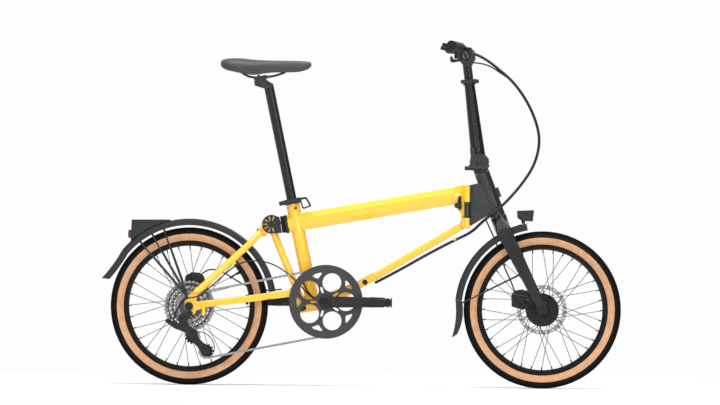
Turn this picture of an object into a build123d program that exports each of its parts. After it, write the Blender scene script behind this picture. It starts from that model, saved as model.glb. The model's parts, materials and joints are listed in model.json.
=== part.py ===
from build123d import *
import os
from math import acos, atan2, cos, degrees, hypot, pi, radians, sin, tan

# Folding bicycle. While it is modelled, x runs forward from the rear axle, y to the rider's
# left and z up from the ground; save() moves everything to the middle of the length.

# ---- Wheels ----
wheelbase = 1135.0
tyre_r = 253.0
tyre_w = 50.0
tyre_wall = 4.0
rim_r = 211.0
rim_depth = 17.5
rim_w = 30.0
spoke_r = 1.0
rotor_t = 1.8
front_rotor_r = 80.0
rear_rotor_r = 80.0
axle_r = 6.0
running_gap = 0.3

# ---- Frame ----
main_tube_h = 56.0
main_tube_w = 42.0
main_tube_flat = 22.0
main_tube_wall = 2.5
main_tube_z = 556.4
main_tube_mid_x = 513.3
main_tube_tilt = 10.24
main_tube_rear_x = 314.0
joint_x = 893.0
joint_gap = 0.6
seat_tube_r = 21.5
seat_tube_x = 353.3
seat_tube_ref_z = 469.4
seat_tube_tilt = 12.13
seat_tube_bottom_z = 286.0
collar_z = 593.0
bb_x = 438.9
bb_z = 272.1
bb_shell_r = 23.0
bb_shell_w = 73.0
down_low = (564.0, 336.0)
down_high = (886.0, 528.0)
down_tube_h = 24.0
down_tube_w = 20.0
pivot = (365.5, 252.0)
pivot_r = 16.0
hub_disc = (261.0, 519.0)
hub_disc_r = 30.0

# ---- Front hinge, head and fork ----
hinge_pin = (889.0, -36.0)
hinge_pin_r = 4.0
knuckle_r = 9.0
upper_knuckle = (598.0, 650.0)
lower_knuckle = (513.0, 546.0)
steer_point = (939.4, 682.9)
steer_tilt = 21.0
head_tube_r = 24.5
head_tube_top = 692.0
head_tube_bottom = 552.0
steerer_r = 14.3
crown_len = 45.0
carrier_z = 620.0
carrier_face = 33.0
carrier_depth = 14.0
carrier_bolt_gap = 16.0
carrier_bolt_r = 2.5
carrier_bolt_depth = 10.0
front_over_locknut = 100.0
rear_over_locknut = 135.0

# ---- Handlepost and bar ----
post_ref = (887.6, 1015.9)
post_tilt = 7.57
post_hinge_z = 722.0
post_hinge_y = 34.0
outer_top_z = 978.0
inner_post_r = 14.7
bar_half_width = 280.0
bar_r = 11.1
grip_r = 16.0
grip_len = 125.0

# ---- Drive ----
crank_len = 175.0
chain_pitch = 12.7
ring_teeth = 53
cog_teeth = (40, 35, 31, 28, 24, 21, 18, 15, 13, 11)
cog_in_use = 6
pulley_teeth = 11
cassette_inner_y = -27.5
cog_spacing = 3.65
guide_at = (12.0, 155.0)
tension_at = (57.0, 110.0)
guard_r = 118.7
spindle_r = 12.0

# ---- Saddle, fenders ----
seatpost_r = 15.9
seatpost_top_z = 963.6
seatpost_insert = 110.0
fender_inner_r = 260.0
fender_r = 281.0
fender_w = 62.0
fender_t = 2.0
flap_reach = 282.5

axle_z = tyre_r
front_x = wheelbase
middle_x = (wheelbase + tyre_r - flap_reach) / 2
chain_y = cassette_inner_y - cog_spacing * cog_in_use
LOW = (Align.CENTER, Align.CENTER, Align.MIN)


def save(name, shape):
    """Write one node, moved so that the origin is under the middle of the bicycle."""
    export_step(Pos(-middle_x, 0, 0) * shape, f"parts/{name}.step")


def rod(start, end, r):
    """Solid round bar between two points."""
    along = Vector(*end) - Vector(*start)
    return Plane(origin=start, z_dir=along) * Cylinder(r, along.length, align=LOW)


def taper(start, end, r0, r1):
    """Solid cone between two points."""
    along = Vector(*end) - Vector(*start)
    return Plane(origin=start, z_dir=along) * Cone(r0, r1, along.length, align=LOW)


def across(at, y0, y1, r):
    """Solid round bar that runs across the bicycle at (x, z)."""
    return rod((at[0], y0, at[1]), (at[0], y1, at[1]), r)


def slab(points, y0, y1, radius=0.0):
    """Side outline of (x, z) points, as thick as from y0 to y1."""
    face = make_face(Polyline(*points, close=True))
    if radius:
        face = fillet(face.vertices(), radius)
    return Plane.XZ.offset(-max(y0, y1)) * extrude(face, abs(y1 - y0))


def plan(points, z0, z1, radius=0.0):
    """Plan outline of (x, y) points, as tall as from z0 to z1."""
    face = make_face(Polyline(*points, close=True))
    if radius:
        face = fillet(face.vertices(), radius)
    return Pos(0, 0, z0) * extrude(face, z1 - z0)


def link(a, ra, b, rb, y0, y1):
    """Flat link with round ends of two sizes."""
    span = hypot(b[0] - a[0], b[1] - a[1])
    turn = atan2(b[1] - a[1], b[0] - a[0])
    lean = acos((ra - rb) / span)
    corners = []
    for at, r, side in ((a, ra, 1), (a, ra, -1), (b, rb, -1), (b, rb, 1)):
        corners.append((at[0] + r * cos(turn + side * lean), at[1] + r * sin(turn + side * lean)))
    return slab(corners, y0, y1) + across(a, y0, y1, ra) + across(b, y0, y1, rb)


def bar(start, end, height, width, radius=3.0):
    """Straight bar of rounded rectangular section, its height in the upright plane."""
    along = Vector(*end) - Vector(*start)
    side = Vector(0, 1, 0) - along * (along.Y / along.length ** 2)
    section = RectangleRounded(width, height, radius)
    return Plane(origin=start, x_dir=side, z_dir=along) * extrude(section, along.length)


def turned(profile, at=(0.0, 0.0), first=0.0, last=360.0):
    """Body turned about a wheel axis from (radius, y) points or a face, over an arc."""
    face = profile if isinstance(profile, (Face, Sketch)) else make_face(Polyline(*profile, close=True))
    body = revolve(face, Axis.Y, last - first)
    return Pos(at[0], 0, at[1]) * Rot(0, -last, 0) * body


def polar(centre, r, angle):
    return centre[0] + r * cos(radians(angle)), centre[1] + r * sin(radians(angle))


def cable(points, r):
    """Round cable along straight runs joined by arcs as large as the runs allow."""
    spots = [Vector(*p) for p in points]
    radii = []
    for a, b, c in zip(spots, spots[1:], spots[2:]):
        half_turn = radians((b - a).get_angle(c - b)) / 2
        radii.append(0.45 * min((b - a).length, (c - b).length) / tan(half_turn))
    path = FilletPolyline(*points, radius=radii)
    print("cable r", r, "length", round(path.length), "arcs", [round(v) for v in radii])
    return sweep(Plane(origin=path @ 0, z_dir=path % 0) * Circle(r), path=path)


def on_line(tilt, at, z):
    """x at height z on a line that leans back by tilt degrees through at."""
    return at[0] + (at[1] - z) * tan(radians(tilt))


def seat_x(z):
    return on_line(seat_tube_tilt, (seat_tube_x, seat_tube_ref_z), z)


def steer_x(z):
    return on_line(steer_tilt, steer_point, z)


def post_x(z):
    return on_line(post_tilt, post_ref, z)


def tube_z(x):
    return main_tube_z + (x - main_tube_mid_x) * tan(radians(main_tube_tilt))


def seat_axis(z):
    return (seat_x(z), 0, z)


def steer_axis(z):
    return (steer_x(z), 0, z)


def post_axis(z):
    return (post_x(z), 0, z)


# ---- Wheels ----


def tyre(x):
    mid_r = (tyre_r + 205) / 2
    outside = Pos(mid_r, 0) * Ellipse(tyre_r - mid_r, tyre_w / 2)
    inside = Pos(mid_r, 0) * Ellipse(tyre_r - mid_r - tyre_wall, tyre_w / 2 - tyre_wall)
    below_rim = Pos(rim_r - 10, 0) * Rectangle(20, tyre_w)
    return turned(outside - inside - below_rim, (x, axle_z))


def rim(x):
    low = rim_r - rim_depth
    half = rim_w / 2
    upper = [(rim_r, half), (rim_r, half - 2.5), (rim_r - 6, half - 3.5), (rim_r - 8, half - 7)]
    outer = [(low, -6), (low, 6), (low + 5, half)]
    profile = outer + upper + [(r, -y) for r, y in reversed(upper)] + [(low + 5, -half)]
    return turned(profile, (x, axle_z))


def spokes(x, count, flange_r, left_y, right_y, cross):
    """Straight spokes, laced both ways from two flanges to the rim."""
    wires = []
    step = 360 / count
    for i in range(count):
        side_y = left_y if i % 2 else right_y
        way = 1 if (i // 2) % 2 else -1
        head_y = side_y + 1.6 * way
        hub_x, hub_z = polar((x, axle_z), flange_r, i * step + way * cross)
        rim_x, rim_z = polar((x, axle_z), rim_r - rim_depth + 2, i * step)
        wires.append(rod((hub_x, head_y, hub_z), (rim_x, 2.5 if i % 2 else -2.5, rim_z), spoke_r))
    return Compound(wires)


def rotor(x, y, r, hub_r):
    """Brake disc: a slotted braking band on six swept arms and a carrier."""
    band = turned([(r - 13, y), (r, y), (r, y + rotor_t), (r - 13, y + rotor_t)], (x, axle_z))
    carrier = turned([(hub_r, y), (hub_r + 9, y), (hub_r + 9, y + rotor_t), (hub_r, y + rotor_t)], (x, axle_z))
    for i in range(6):
        inner = polar((x, axle_z), hub_r + 7, i * 60)
        outer = polar((x, axle_z), r - 11, i * 60 + 28)
        band += link(inner, 3.5, outer, 2.6, y, y + rotor_t)
    for i in range(18):
        band -= across(polar((x, axle_z), r - 6.5, i * 20), y - 1, y + rotor_t + 1, 2.6)
    return band + carrier


rear_hub_left = rear_over_locknut / 2 - 8
rear_rotor_y = 50.0
front_rotor_y = 42.0
motor_half = 38.0
motor_r = 50.0


def rear_hub():
    bore = axle_r + running_gap
    profile = [(bore, -26), (19, -26), (19, -25), (29, -24), (29, -20.5), (18, -18), (16, 0), (18, 26),
               (29, 30), (29, 33.5), (20, 35), (20, rear_rotor_y), (14, rear_rotor_y),
               (14, rear_hub_left), (bore, rear_hub_left)]
    return turned(profile, (0, axle_z))


def hub_motor():
    bore = axle_r + running_gap
    half = [(bore, motor_half), (24, motor_half), (27, motor_half - 3), (42, motor_half - 8), (motor_r - 3, 28),
            (motor_r + 3, 27), (motor_r + 3, 23), (motor_r - 2, 21)]
    profile = half + [(r, -y) for r, y in reversed(half)]
    boss = turned([(16, motor_half - 0.01), (24, motor_half - 0.01), (24, front_rotor_y), (16, front_rotor_y)],
                  (front_x, axle_z))
    return turned(profile, (front_x, axle_z)) + boss


def rear_axle():
    half = rear_over_locknut / 2
    shaft = across((0, axle_z), -half - 11, half + 11, axle_r)
    right_head = across((0, axle_z), -half - 13, -half - 6.4, 13.5)
    right_head -= across((0, axle_z), -half - 14, -half - 10, 4)
    left_nut = across((0, axle_z), half + 6.4, half + 12, 11)
    return shaft + right_head + left_nut


# ---- Frame ----


def tube_section(height, width, flat):
    """Octagonal section: upright side flats and long chamfers, edges rounded."""
    side = width / 2
    top = height / 2
    points = [(side, flat / 2), (side - 10, top), (10 - side, top), (-side, flat / 2)]
    points += [(-y, -z) for y, z in points]
    return fillet(make_face(Polyline(*points, close=True)).vertices(), 4)


def along_main_tube(section, x0, x1):
    lean = radians(main_tube_tilt)
    start = Plane(origin=(x0, 0, tube_z(x0)), x_dir=(0, 1, 0), z_dir=(cos(lean), 0, sin(lean)))
    return start * extrude(section, (x1 - x0) / cos(lean))


def main_tube():
    """Main tube with the cast lug that carries the front hinge and the down tube's upper end."""
    outside = tube_section(main_tube_h, main_tube_w, main_tube_flat)
    inside = tube_section(main_tube_h - 2 * main_tube_wall, main_tube_w - 2 * main_tube_wall, main_tube_flat - 2)
    face_x = joint_x - joint_gap / 2
    pin_x, pin_y = hinge_pin
    tube = along_main_tube(outside, main_tube_rear_x, 862)
    tube -= along_main_tube(inside, main_tube_rear_x + 3, 845)
    lug = slab([(848, tube_z(848) + 28), (872, tube_z(872) + 30), (face_x, 650.5), (face_x, 512), (871, 512),
                (871, 556), (862, 570), (848, tube_z(848) - 28)], -22, 22)
    lug -= slab([(860, 505), (face_x + 1, 505), (face_x + 1, 543.5), (860, 543.5)], -10.5, 10.5)
    shape = tube + lug
    for low, high in (upper_knuckle, lower_knuckle):
        shape += rod((pin_x, pin_y, low), (pin_x, pin_y, high), knuckle_r)
        shape += plan([(pin_x - 8, pin_y), (face_x, pin_y), (face_x, -20), (872, -20)], low, high)
    shape -= rod((pin_x, pin_y, 500), (pin_x, pin_y, 660), hinge_pin_r)
    shape -= across(down_high, -21.5, 30, 4)
    return shape - rod(seat_axis(400), seat_axis(700), seat_tube_r)


def seat_tube():
    bore = seatpost_r + running_gap
    tube = rod(seat_axis(seat_tube_bottom_z), seat_axis(collar_z + 7), seat_tube_r)
    tube -= rod(seat_axis(seat_tube_bottom_z + 6), seat_axis(collar_z + 20), bore)
    slot = rod((seat_x(570) - 35, 0, 572), (seat_x(570), 0, 572), 3)
    return tube - slot


def bottom_bracket_lug():
    """Cast lug from the rear pivot, round the crank bearing, to the fork that holds the down tube."""
    tail = link(pivot, pivot_r, (bb_x, bb_z), bb_shell_r, -18, 18)
    arm = slab([(bb_x - 6, bb_z + 23), (bb_x + 6, bb_z - 22), (552, 317), (541, 340)], -15, 15)
    cheek = slab([(530, 334), (541, 311), (596, 343), (588, 367), (545, 342)], 10.4, 15)
    shell = across((bb_x, bb_z), -bb_shell_w / 2, bb_shell_w / 2, bb_shell_r)
    shape = tail + arm + cheek + mirror(cheek, Plane.XZ) + shell
    shape += bar((seat_x(290) - 6, 0, 262), (seat_x(290) - 2, 0, seat_tube_bottom_z - 1), 34, 34, 8)
    shape -= rod(seat_axis(seat_tube_bottom_z), seat_axis(400), 60)
    shape -= across((bb_x, bb_z), -60, 60, spindle_r + running_gap)
    shape -= across(pivot, -60, 60, axle_r)
    return shape - across(down_low, -30, 30, 4)


def down_tube():
    """Straight strut, bolted at both ends so that it comes off for folding."""
    run_x = down_high[0] - down_low[0]
    run_z = down_high[1] - down_low[1]
    length = hypot(run_x, run_z)
    low = (down_low[0] + 4 * run_x / length, 0, down_low[1] + 4 * run_z / length)
    high = (down_high[0] - 9 * run_x / length, 0, down_high[1] - 9 * run_z / length)
    shape = bar(low, high, down_tube_h, down_tube_w, 7)
    shape += across(down_low, -down_tube_w / 2, down_tube_w / 2, down_tube_h / 2)
    eye = across(down_high, -down_tube_w / 2, down_tube_w / 2, 12)
    eye &= slab([(860, 500), (joint_x - 0.6, 500), (joint_x - 0.6, 543), (860, 543)], -20, 20)
    shape += eye
    return shape - across(down_low, -30, 30, 4) - across(down_high, -30, 30, 4)


def frame_pins():
    """Front hinge pin, the down tube's two bolts and the rear pivot's axle."""
    pin_x, pin_y = hinge_pin
    hinge = rod((pin_x, pin_y, lower_knuckle[0] - 1), (pin_x, pin_y, upper_knuckle[1] + 1), hinge_pin_r)
    high = across(down_high, -21.5, 22, 4) + across(down_high, 22, 24.5, 7)
    low = across(down_low, -15, 15, 4) + across(down_low, -18, -15, 8) + across(down_low, 15, 18, 8)
    rear = across(pivot, -45, 45, axle_r) + across(pivot, -49, -45, 11) + across(pivot, 45, 49, 11)
    return Compound([hinge, high, low, rear])


def rear_end_cap():
    """Collar on the main tube's rear end that the suspension pad sits on."""
    outside = tube_section(main_tube_h + 3, main_tube_w + 3, main_tube_flat)
    end_x = main_tube_rear_x
    cap = along_main_tube(outside, end_x - 9, end_x)
    return cap


def suspension_pad():
    outside = tube_section(main_tube_h - 8, main_tube_w - 8, main_tube_flat - 4)
    return along_main_tube(outside, main_tube_rear_x - 19, main_tube_rear_x - 9)


def seat_clamp():
    """Collar round the slit top of the seat tube, with the ears that its lever draws together."""
    lean = radians(seat_tube_tilt)
    ring = rod(seat_axis(collar_z - 8.5), seat_axis(collar_z + 8.5), 26)
    ring -= rod(seat_axis(collar_z - 20), seat_axis(collar_z + 20), seat_tube_r)
    x, z = seat_x(collar_z) - 30, collar_z - 30 * tan(lean)
    ear = Plane(origin=(x, 0, z), z_dir=(-sin(lean), 0, cos(lean))) * Box(22, 22, 13)
    ear -= rod(seat_axis(collar_z - 20), seat_axis(collar_z + 20), seat_tube_r)
    ear -= Plane(origin=(x - 2, 0, z), z_dir=(-sin(lean), 0, cos(lean))) * Box(30, 3, 14)
    return ring + ear


def seat_clamp_lever():
    """Cam lever along the drive side, ending in a finger ring."""
    cam_x, cam_z = seat_x(collar_z) - 34, collar_z - 34 * tan(radians(seat_tube_tilt))
    lean = radians(seat_tube_tilt)
    up = Vector(-sin(lean), 0, cos(lean))
    cam = Vector(cam_x, -19.6, cam_z)
    shape = rod(tuple(cam - up * 6), tuple(cam + up * 6), 7.8)
    arm = [(cam_x - 3, cam_z - 7), (cam_x - 3, cam_z + 7), (cam_x + 30, cam_z + 15), (cam_x + 60, cam_z + 19),
           (cam_x + 62, cam_z + 8), (cam_x + 35, cam_z + 1)]
    shape += slab(arm, -33, -28) + slab([(cam_x - 6, cam_z - 5), (cam_x + 5, cam_z - 5), (cam_x + 3, cam_z + 6),
                                         (cam_x - 8, cam_z + 6)], -33, -23)
    ring_out = [(cam_x + 54, cam_z + 19), (cam_x + 80, cam_z + 23), (cam_x + 98, cam_z - 7), (cam_x + 69, cam_z - 18)]
    ring_in = [(cam_x + 63, cam_z + 13), (cam_x + 77, cam_z + 16), (cam_x + 90, cam_z - 5), (cam_x + 71, cam_z - 12)]
    ring = slab(ring_out, -33, -28, 6) - slab(ring_in, -35, -26, 4)
    return shape + ring


def hinge_latch():
    """Lever that locks the front hinge, on the lug's drive side."""
    stem = rod((866, -26.5, 572), (866, -26.5, 616), 4.2)
    blade = slab([(859, 576), (866, 576), (866, 610), (859, 610)], -31, -22.8)
    knob = across((857, 586), -34, -22.8, 9)
    return stem + blade + knob


# ---- Rear triangle ----


def stay_path(points):
    spots = [Vector(*p) for p in points]
    radii = []
    for a, b, c in zip(spots, spots[1:], spots[2:]):
        half_turn = radians((b - a).get_angle(c - b)) / 2
        radii.append(min(60, 0.45 * min((b - a).length, (c - b).length) / tan(half_turn)))
    return FilletPolyline(*points, radius=radii)


dropout_y = rear_over_locknut / 2
stay_low = (22, 70, 257)
stay_mid = (178, 49.5, 277)
stay_in = (248, 39.5, 287)
stay_front = (334, 38.8, 299)


def chain_stay():
    path = stay_path([stay_low, stay_mid, stay_in, stay_front])
    return sweep(Plane(origin=path @ 0, x_dir=(0, 1, 0), z_dir=path % 0) * RectangleRounded(10.5, 22, 4), path=path)


def dropout():
    outline = [(-14, 258), (-13, 274), (2, 292), (26, 296), (24, 268), (40, 268), (44, 246), (24, 240),
               (18, 226), (8, 226), (2, 238)]
    plate = slab(outline, dropout_y, dropout_y + 6, 2)
    return plate - across((0, axle_z), 60, 80, axle_r)


def chain_stays():
    """Both chain stays, with dropouts, the gussets at the front and the sleeves on the pivot."""
    gusset = slab([(318, 287), (320, 310), (338, 327), (352, 322), (383, 258), (372, 236), (358, 236)], 33.5, 44, 5)
    sleeve = across(pivot, 18.4, 44, pivot_r - 1)
    side = chain_stay() + gusset + sleeve + dropout()
    side -= across(pivot, 0, 60, axle_r + running_gap)
    left = side - across((0, axle_z), 40, 66, 20)
    peg = rod((47, -74.5, 224), (47, -74.5, 262), 6)
    right = mirror(side, Plane.XZ) + peg
    return Compound([left, right])


def rear_struts():
    """Yoke behind the suspension hub, and the two struts down to the pivot gussets."""
    yoke = across(hub_disc, -30, 30, 20)
    yoke += slab([(214, 486), (226, 512), (252, 530), (262, 500), (240, 478)], -30, 30, 5)
    strut = rod((262, 17, 507), (357, 29, 280), 11)
    strut -= slab([(300, 200), (300, 300), (420, 300), (420, 200)], 33.5, 60)
    strut -= across(pivot, 0, 60, pivot_r + 3)
    shape = yoke + strut + mirror(strut, Plane.XZ)
    shape -= across(hub_disc, -60, 60, 8)
    return shape - chain_stays()


def seat_stays():
    """Two stays from the yoke, outside the fender, down to the dropouts."""
    path = stay_path([(12, 71, 287), (192, 46, 455), (226, 37, 492)])
    stay = sweep(Plane(origin=path @ 0, x_dir=(0, 1, 0), z_dir=path % 0) * Circle(11), path=path)
    shape = stay - slab([(-20, 220), (-20, 296), (40, 300), (40, 220)], 60, dropout_y)
    shape -= slab([(-20, 220), (-20, 296), (40, 300), (40, 220)], dropout_y + 6, 90)
    shape -= across(hub_disc, 30, 60, hub_disc_r + 0.6)
    bridge = across((225, 491), -30, 30, 8)
    shape = shape + mirror(shape, Plane.XZ) + bridge
    mount = slab([(62, 338), (74, 330), (58, 312), (40, 318)], 56, 62)
    return (shape + mount) - chain_stays() - rear_struts()


def suspension_hub():
    """Slotted end discs of the elastomer unit, and the block that presses on the frame's pad."""
    low_x = main_tube_rear_x - 19.4
    disc = across(hub_disc, 30.3, 38, hub_disc_r)
    for i in range(10):
        a = polar(hub_disc, 13, i * 36)
        b = polar(hub_disc, 24, i * 36)
        disc -= link(a, 2, b, 2.9, 32.5, 40)
    cheek = slab([(270, 493), (283, 490), (283, 543), (273, 546)], 30.3, 38)
    side = disc + cheek
    block = slab([(282.5, 490), (low_x, 491.5), (low_x - 8, 541), (282.5, 543)], -38, 38, 1)
    block &= slab([(282.5, 480), (299, 480), (285, 550), (282.5, 550)], -40, 40)
    bolt = across(hub_disc, -39.5, 39.5, 7)
    knob = rod((214, 0, 499), (224, 0, 497), 6)
    knob -= across((225, 491), -30, 30, 8.3)
    return Compound([side + mirror(side, Plane.XZ) + block, bolt, knob - rear_struts()])


def fender_shell(at, first, last):
    """Thin pressed arc with rolled sides."""
    half = fender_w / 2
    outer = [(fender_inner_r, -half), (fender_r - 6, -half), (fender_r, -half + 10), (fender_r, half - 10),
             (fender_r - 6, half), (fender_inner_r, half)]
    inner = [(fender_inner_r, half - fender_t), (fender_r - 7, half - fender_t), (fender_r - fender_t, half - 11),
             (fender_r - fender_t, 11 - half), (fender_r - 7, fender_t - half), (fender_inner_r, fender_t - half)]
    return turned(outer + inner, at, first, last)


def mudflap(at, first, last, tip_r, tip_depth):
    """Flexible flap that flares away from the tyre below the fender and ends blunt."""
    inner_first = polar(at, fender_inner_r, first)
    outer_first = polar(at, fender_r, first)
    outer_last = polar(at, tip_r, last)
    inner_last = polar(at, tip_r - tip_depth, last - 1)
    mid = (first + last) / 2
    outer_mid = polar(at, fender_r - 2, mid)
    inner_mid = polar(at, fender_inner_r, mid + 2)
    outline = Spline(outer_first, outer_mid, outer_last) + Line(outer_last, inner_last)
    outline += Spline(inner_last, inner_mid, inner_first) + Line(inner_first, outer_first)
    half = fender_w / 2
    solid = Plane.XZ.offset(-half) * extrude(make_face(outline), fender_w)
    shell = solid - turned([(200, 2.5 - half), (fender_r - 3, 2.5 - half), (fender_r - 3, half - 2.5),
                            (200, half - 2.5)], at)
    return shell


def rear_fender():
    """Fender shell, its flat-topped fairing, mudflap and three stays a side."""
    at = (0, axle_z)
    shell = fender_shell(at, 10.5, 140.2)
    flap = mudflap(at, 140.4, 163, flap_reach * 1.0462, 24)
    fairing = slab([(-62, 530.5), (-188, 529), (-191, 455), (-100, 470)], -24, 24, 2)
    fairing -= across(at, -40, 40, fender_r)
    stays = []
    for angle in (109, 118, 128):
        top = polar(at, 262.5, angle)
        wire = rod((-4, 77.2, 280), (top[0], 34.2, top[1]), 2.6)
        stays += [wire, mirror(wire, Plane.XZ)]
    return Compound([shell, flap, fairing] + stays)


def rear_light():
    return slab([(-190.8, 470), (-189.7, 496), (-198, 496), (-199.5, 483), (-198, 470)], -21, 21, 1)


def rear_caliper():
    """Two halves that straddle the rear disc, bolted to the stay's mount."""
    body = slab([(-19, 326), (-14, 350), (6, 362), (30, 360), (44, 350), (50, 332), (44, 318), (14, 314),
                 (-8, 318)], 38, 60, 4)
    body -= across((0, axle_z), rear_rotor_y - 1, rear_rotor_y + rotor_t + 1, rear_rotor_r + 1.5)
    return body - seat_stays() - chain_stays()


def derailleur_body():
    """Knuckle on the hanger, parallelogram, its rearward arm and lower knuckle."""
    top = across((4, 230), -86, -74, 9) + link((4, 230), 9, (-20, 214), 14, -84, -74)
    arm = link((-20, 214), 14, (-12, 186), 12, -84, -72) + link((-12, 186), 12, (14, 164), 15, -84, -62)
    lever = link((-68, 206), 7, (-42, 190), 9, -84, -72) + link((-42, 190), 9, (-12, 182), 12, -84, -72)
    shape = top + arm + lever + link((14, 164), 14, (12, 155), 13, -72, -58)
    shape -= across(guide_at, -58.5, -30, 40)
    return shape - chain_stays()


def derailleur_cage():
    """Two plates that carry the jockey wheels."""
    outer = link(guide_at, 11, tension_at, 12, -57.8, -55.6)
    inner = link(guide_at, 11, tension_at, 12, -43.2, -41.2)
    pins = across(guide_at, -57.8, -41.2, 2.5) + across(tension_at, -57.8, -41.2, 2.5)
    return outer + inner + pins


def jockey_wheel(at):
    r = chain_pitch / 2 / sin(pi / pulley_teeth)
    wheel = across(at, chain_y - 0.9, chain_y + 0.9, r + 1.5)
    for i in range(pulley_teeth):
        wheel -= across(polar(at, r + 1.2, (i + 0.5) * 360 / pulley_teeth), -60, -40, 3.9)
    wheel += across(at, chain_y - 3.5, chain_y + 3.5, 8)
    return wheel - across(at, -60, -40, 2.5 + running_gap)


def pitch_r(teeth):
    return chain_pitch / 2 / sin(pi / teeth)


def cassette():
    """Sprocket cluster on its freewheel body."""
    at = (0, axle_z)
    shape = across(at, -62.5, -26.4, 16)
    for i, teeth in enumerate(cog_teeth):
        y = cassette_inner_y - cog_spacing * i
        r = pitch_r(teeth)
        cog = across(at, y - 0.8, y + 0.8, r + 2.2)
        for k in range(teeth):
            cog -= across(polar(at, r + 2.4, (k + 0.5) * 360 / teeth), y - 1, y + 1, 3.9)
        if teeth > 20:
            for k in range(6):
                cog -= across(polar(at, (r + 16) / 2 - 1, k * 60 + i * 9), y - 1, y + 1, (r - 23) / 2.6)
        shape += cog
    return shape - across(at, -70, 0, axle_r + running_gap)


# ---- Crankset ----


def crank_arms():
    """Spindle, two arms and the pedal spindles."""
    bb = (bb_x, bb_z)
    right_end = (bb_x + crank_len, bb_z)
    left_end = (bb_x - crank_len, bb_z)
    shape = across(bb, -76, 76, spindle_r)
    for end, side in ((right_end, -1), (left_end, 1)):
        arm = link(bb, 18.5, end, 15.5, side * 62, side * 76)
        shape += arm + across(end, side * 62, side * 182, 6.5)
    shape += across(bb, -62, -56.2, 22)
    for side in (-1, 1):
        shape -= across(bb, side * 72, side * 80, 7)
    return shape


def chainring():
    """Toothed ring and its guard, one casting with five windows."""
    bb = (bb_x, bb_z)
    r = pitch_r(ring_teeth)
    shape = across(bb, -56, -53.2, guard_r)
    shape += turned([(95, -53.3), (101, -53.3), (101, chain_y - 0.9), (95, chain_y - 0.9)], bb)
    teeth = across(bb, chain_y - 0.9, chain_y + 0.9, r + 2.4) - across(bb, -60, -40, 95)
    for k in range(ring_teeth):
        teeth -= across(polar(bb, r + 2.6, (k + 0.5) * 360 / ring_teeth), -55, -45, 3.9)
    shape += teeth
    for i in range(5):
        arm = 37 + i * 72
        shape -= across(polar(bb, 64.5, arm + 36), -60, -40, 30)
        a = polar(bb, 33, arm)
        b = polar(bb, 46, arm)
        shape -= link(a, 3.5, b, 3.51, -60, -50)
        tri = [polar(bb, 94, arm - 12), polar(bb, 98, arm), polar(bb, 94, arm + 12), polar(bb, 78, arm)]
        shape -= slab(tri, -60, -50, 2.5)
        shape += across(polar(bb, 68, arm), -56.6, -53.2, 4)
    return shape - across(bb, -60, -40, 22)


def pedal(x, side):
    """Platform cage on a bored core, open between core and rails."""
    core = across((x, bb_z), side * 90, side * 184, 11)
    cage = slab([(x - 37, bb_z - 14), (x - 37, bb_z + 14), (x + 37, bb_z + 14), (x + 37, bb_z - 14)],
                side * 90, side * 184, 5)
    for edge in (-1, 1):
        low = side * 98
        high = side * 176
        window = plan([(x + edge * 15, low), (x + edge * 31, low), (x + edge * 31, high), (x + edge * 15, high)],
                      bb_z - 30, bb_z + 30, 3)
        cage -= window
    return (cage + core) - across((x, bb_z), side * 80, side * 182.3, 6.5 + running_gap)


def chain_loop(shift):
    """Centre line of the chain, moved outwards by shift, as one closed wire."""
    wraps = [((bb_x, bb_z), pitch_r(ring_teeth), 1), ((0, axle_z), pitch_r(cog_teeth[cog_in_use]), 1),
             (guide_at, pitch_r(pulley_teeth), -1), (tension_at, pitch_r(pulley_teeth), 1)]
    rounds = [(at, r + way * shift, way) for at, r, way in wraps]
    ends = []
    for (a, ra, wa), (b, rb, wb) in zip(rounds, rounds[1:] + rounds[:1]):
        dx, dz = b[0] - a[0], b[1] - a[1]
        span = hypot(dx, dz)
        turn = atan2(dz, dx)
        lean = acos((ra * wa - rb * wb) / span)
        angle = turn - lean
        pa = (a[0] + wa * ra * cos(angle), a[1] + wa * ra * sin(angle))
        pb = (b[0] + wb * rb * cos(angle), b[1] + wb * rb * sin(angle))
        ends.append((pa, pb))
    edges = []
    for i, ((at, r, way), (pa, pb)) in enumerate(zip(rounds, ends)):
        came = ends[i - 1][1]
        a0 = atan2(came[1] - at[1], came[0] - at[0])
        a1 = atan2(pa[1] - at[1], pa[0] - at[0])
        sweep_angle = (a1 - a0) % (2 * pi) if way > 0 else -((a0 - a1) % (2 * pi))
        mid = (at[0] + r * cos(a0 + sweep_angle / 2), at[1] + r * sin(a0 + sweep_angle / 2))
        edges.append(ThreePointArc(came, mid, pa))
        edges.append(Line(pa, pb))
    return Wire(edges)


def chain():
    """Closed chain as two rows of side plates joined by rollers on its free runs."""
    band = make_face(chain_loop(4).edges()) - make_face(chain_loop(-4).edges())
    rows = []
    for y0, y1 in ((chain_y + 1.1, chain_y + 2.5), (chain_y - 2.5, chain_y - 1.1)):
        rows.append(Plane.XZ.offset(-y1) * extrude(band, y1 - y0))
    shape = rows[0] + rows[1]
    for t in (0.25, 0.5, 0.75):
        loop = chain_loop(0)
        edges = [e for e in loop.edges() if e.geom_type == GeomType.LINE and e.length > 200]
        for edge in edges:
            spot = edge @ t
            shape += across((spot.X, spot.Y), chain_y - 1.2, chain_y + 1.2, 3.6)
    return shape


# ---- Seat ----


def seatpost():
    """Tube with the rail clamp at its top."""
    bottom_z = collar_z - seatpost_insert * cos(radians(seat_tube_tilt))
    tube = rod(seat_axis(bottom_z), seat_axis(seatpost_top_z), seatpost_r)
    tube -= rod(seat_axis(bottom_z - 1), seat_axis(seatpost_top_z - 25), seatpost_r - 2.4)
    head = slab([(202, 964), (200, 979), (206, 986), (236, 986), (248, 978), (262.5, 970), (262.5, 960), (232, 955)],
                -16, 16, 3)
    cradle = slab([(200, 982), (198, 992), (222, 996), (240, 999), (243, 986)], -27, 27, 2)
    shape = tube + head + cradle + rod((214, 0, 975), (214, 0, 999), 4)
    return shape - saddle_rails()


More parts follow.
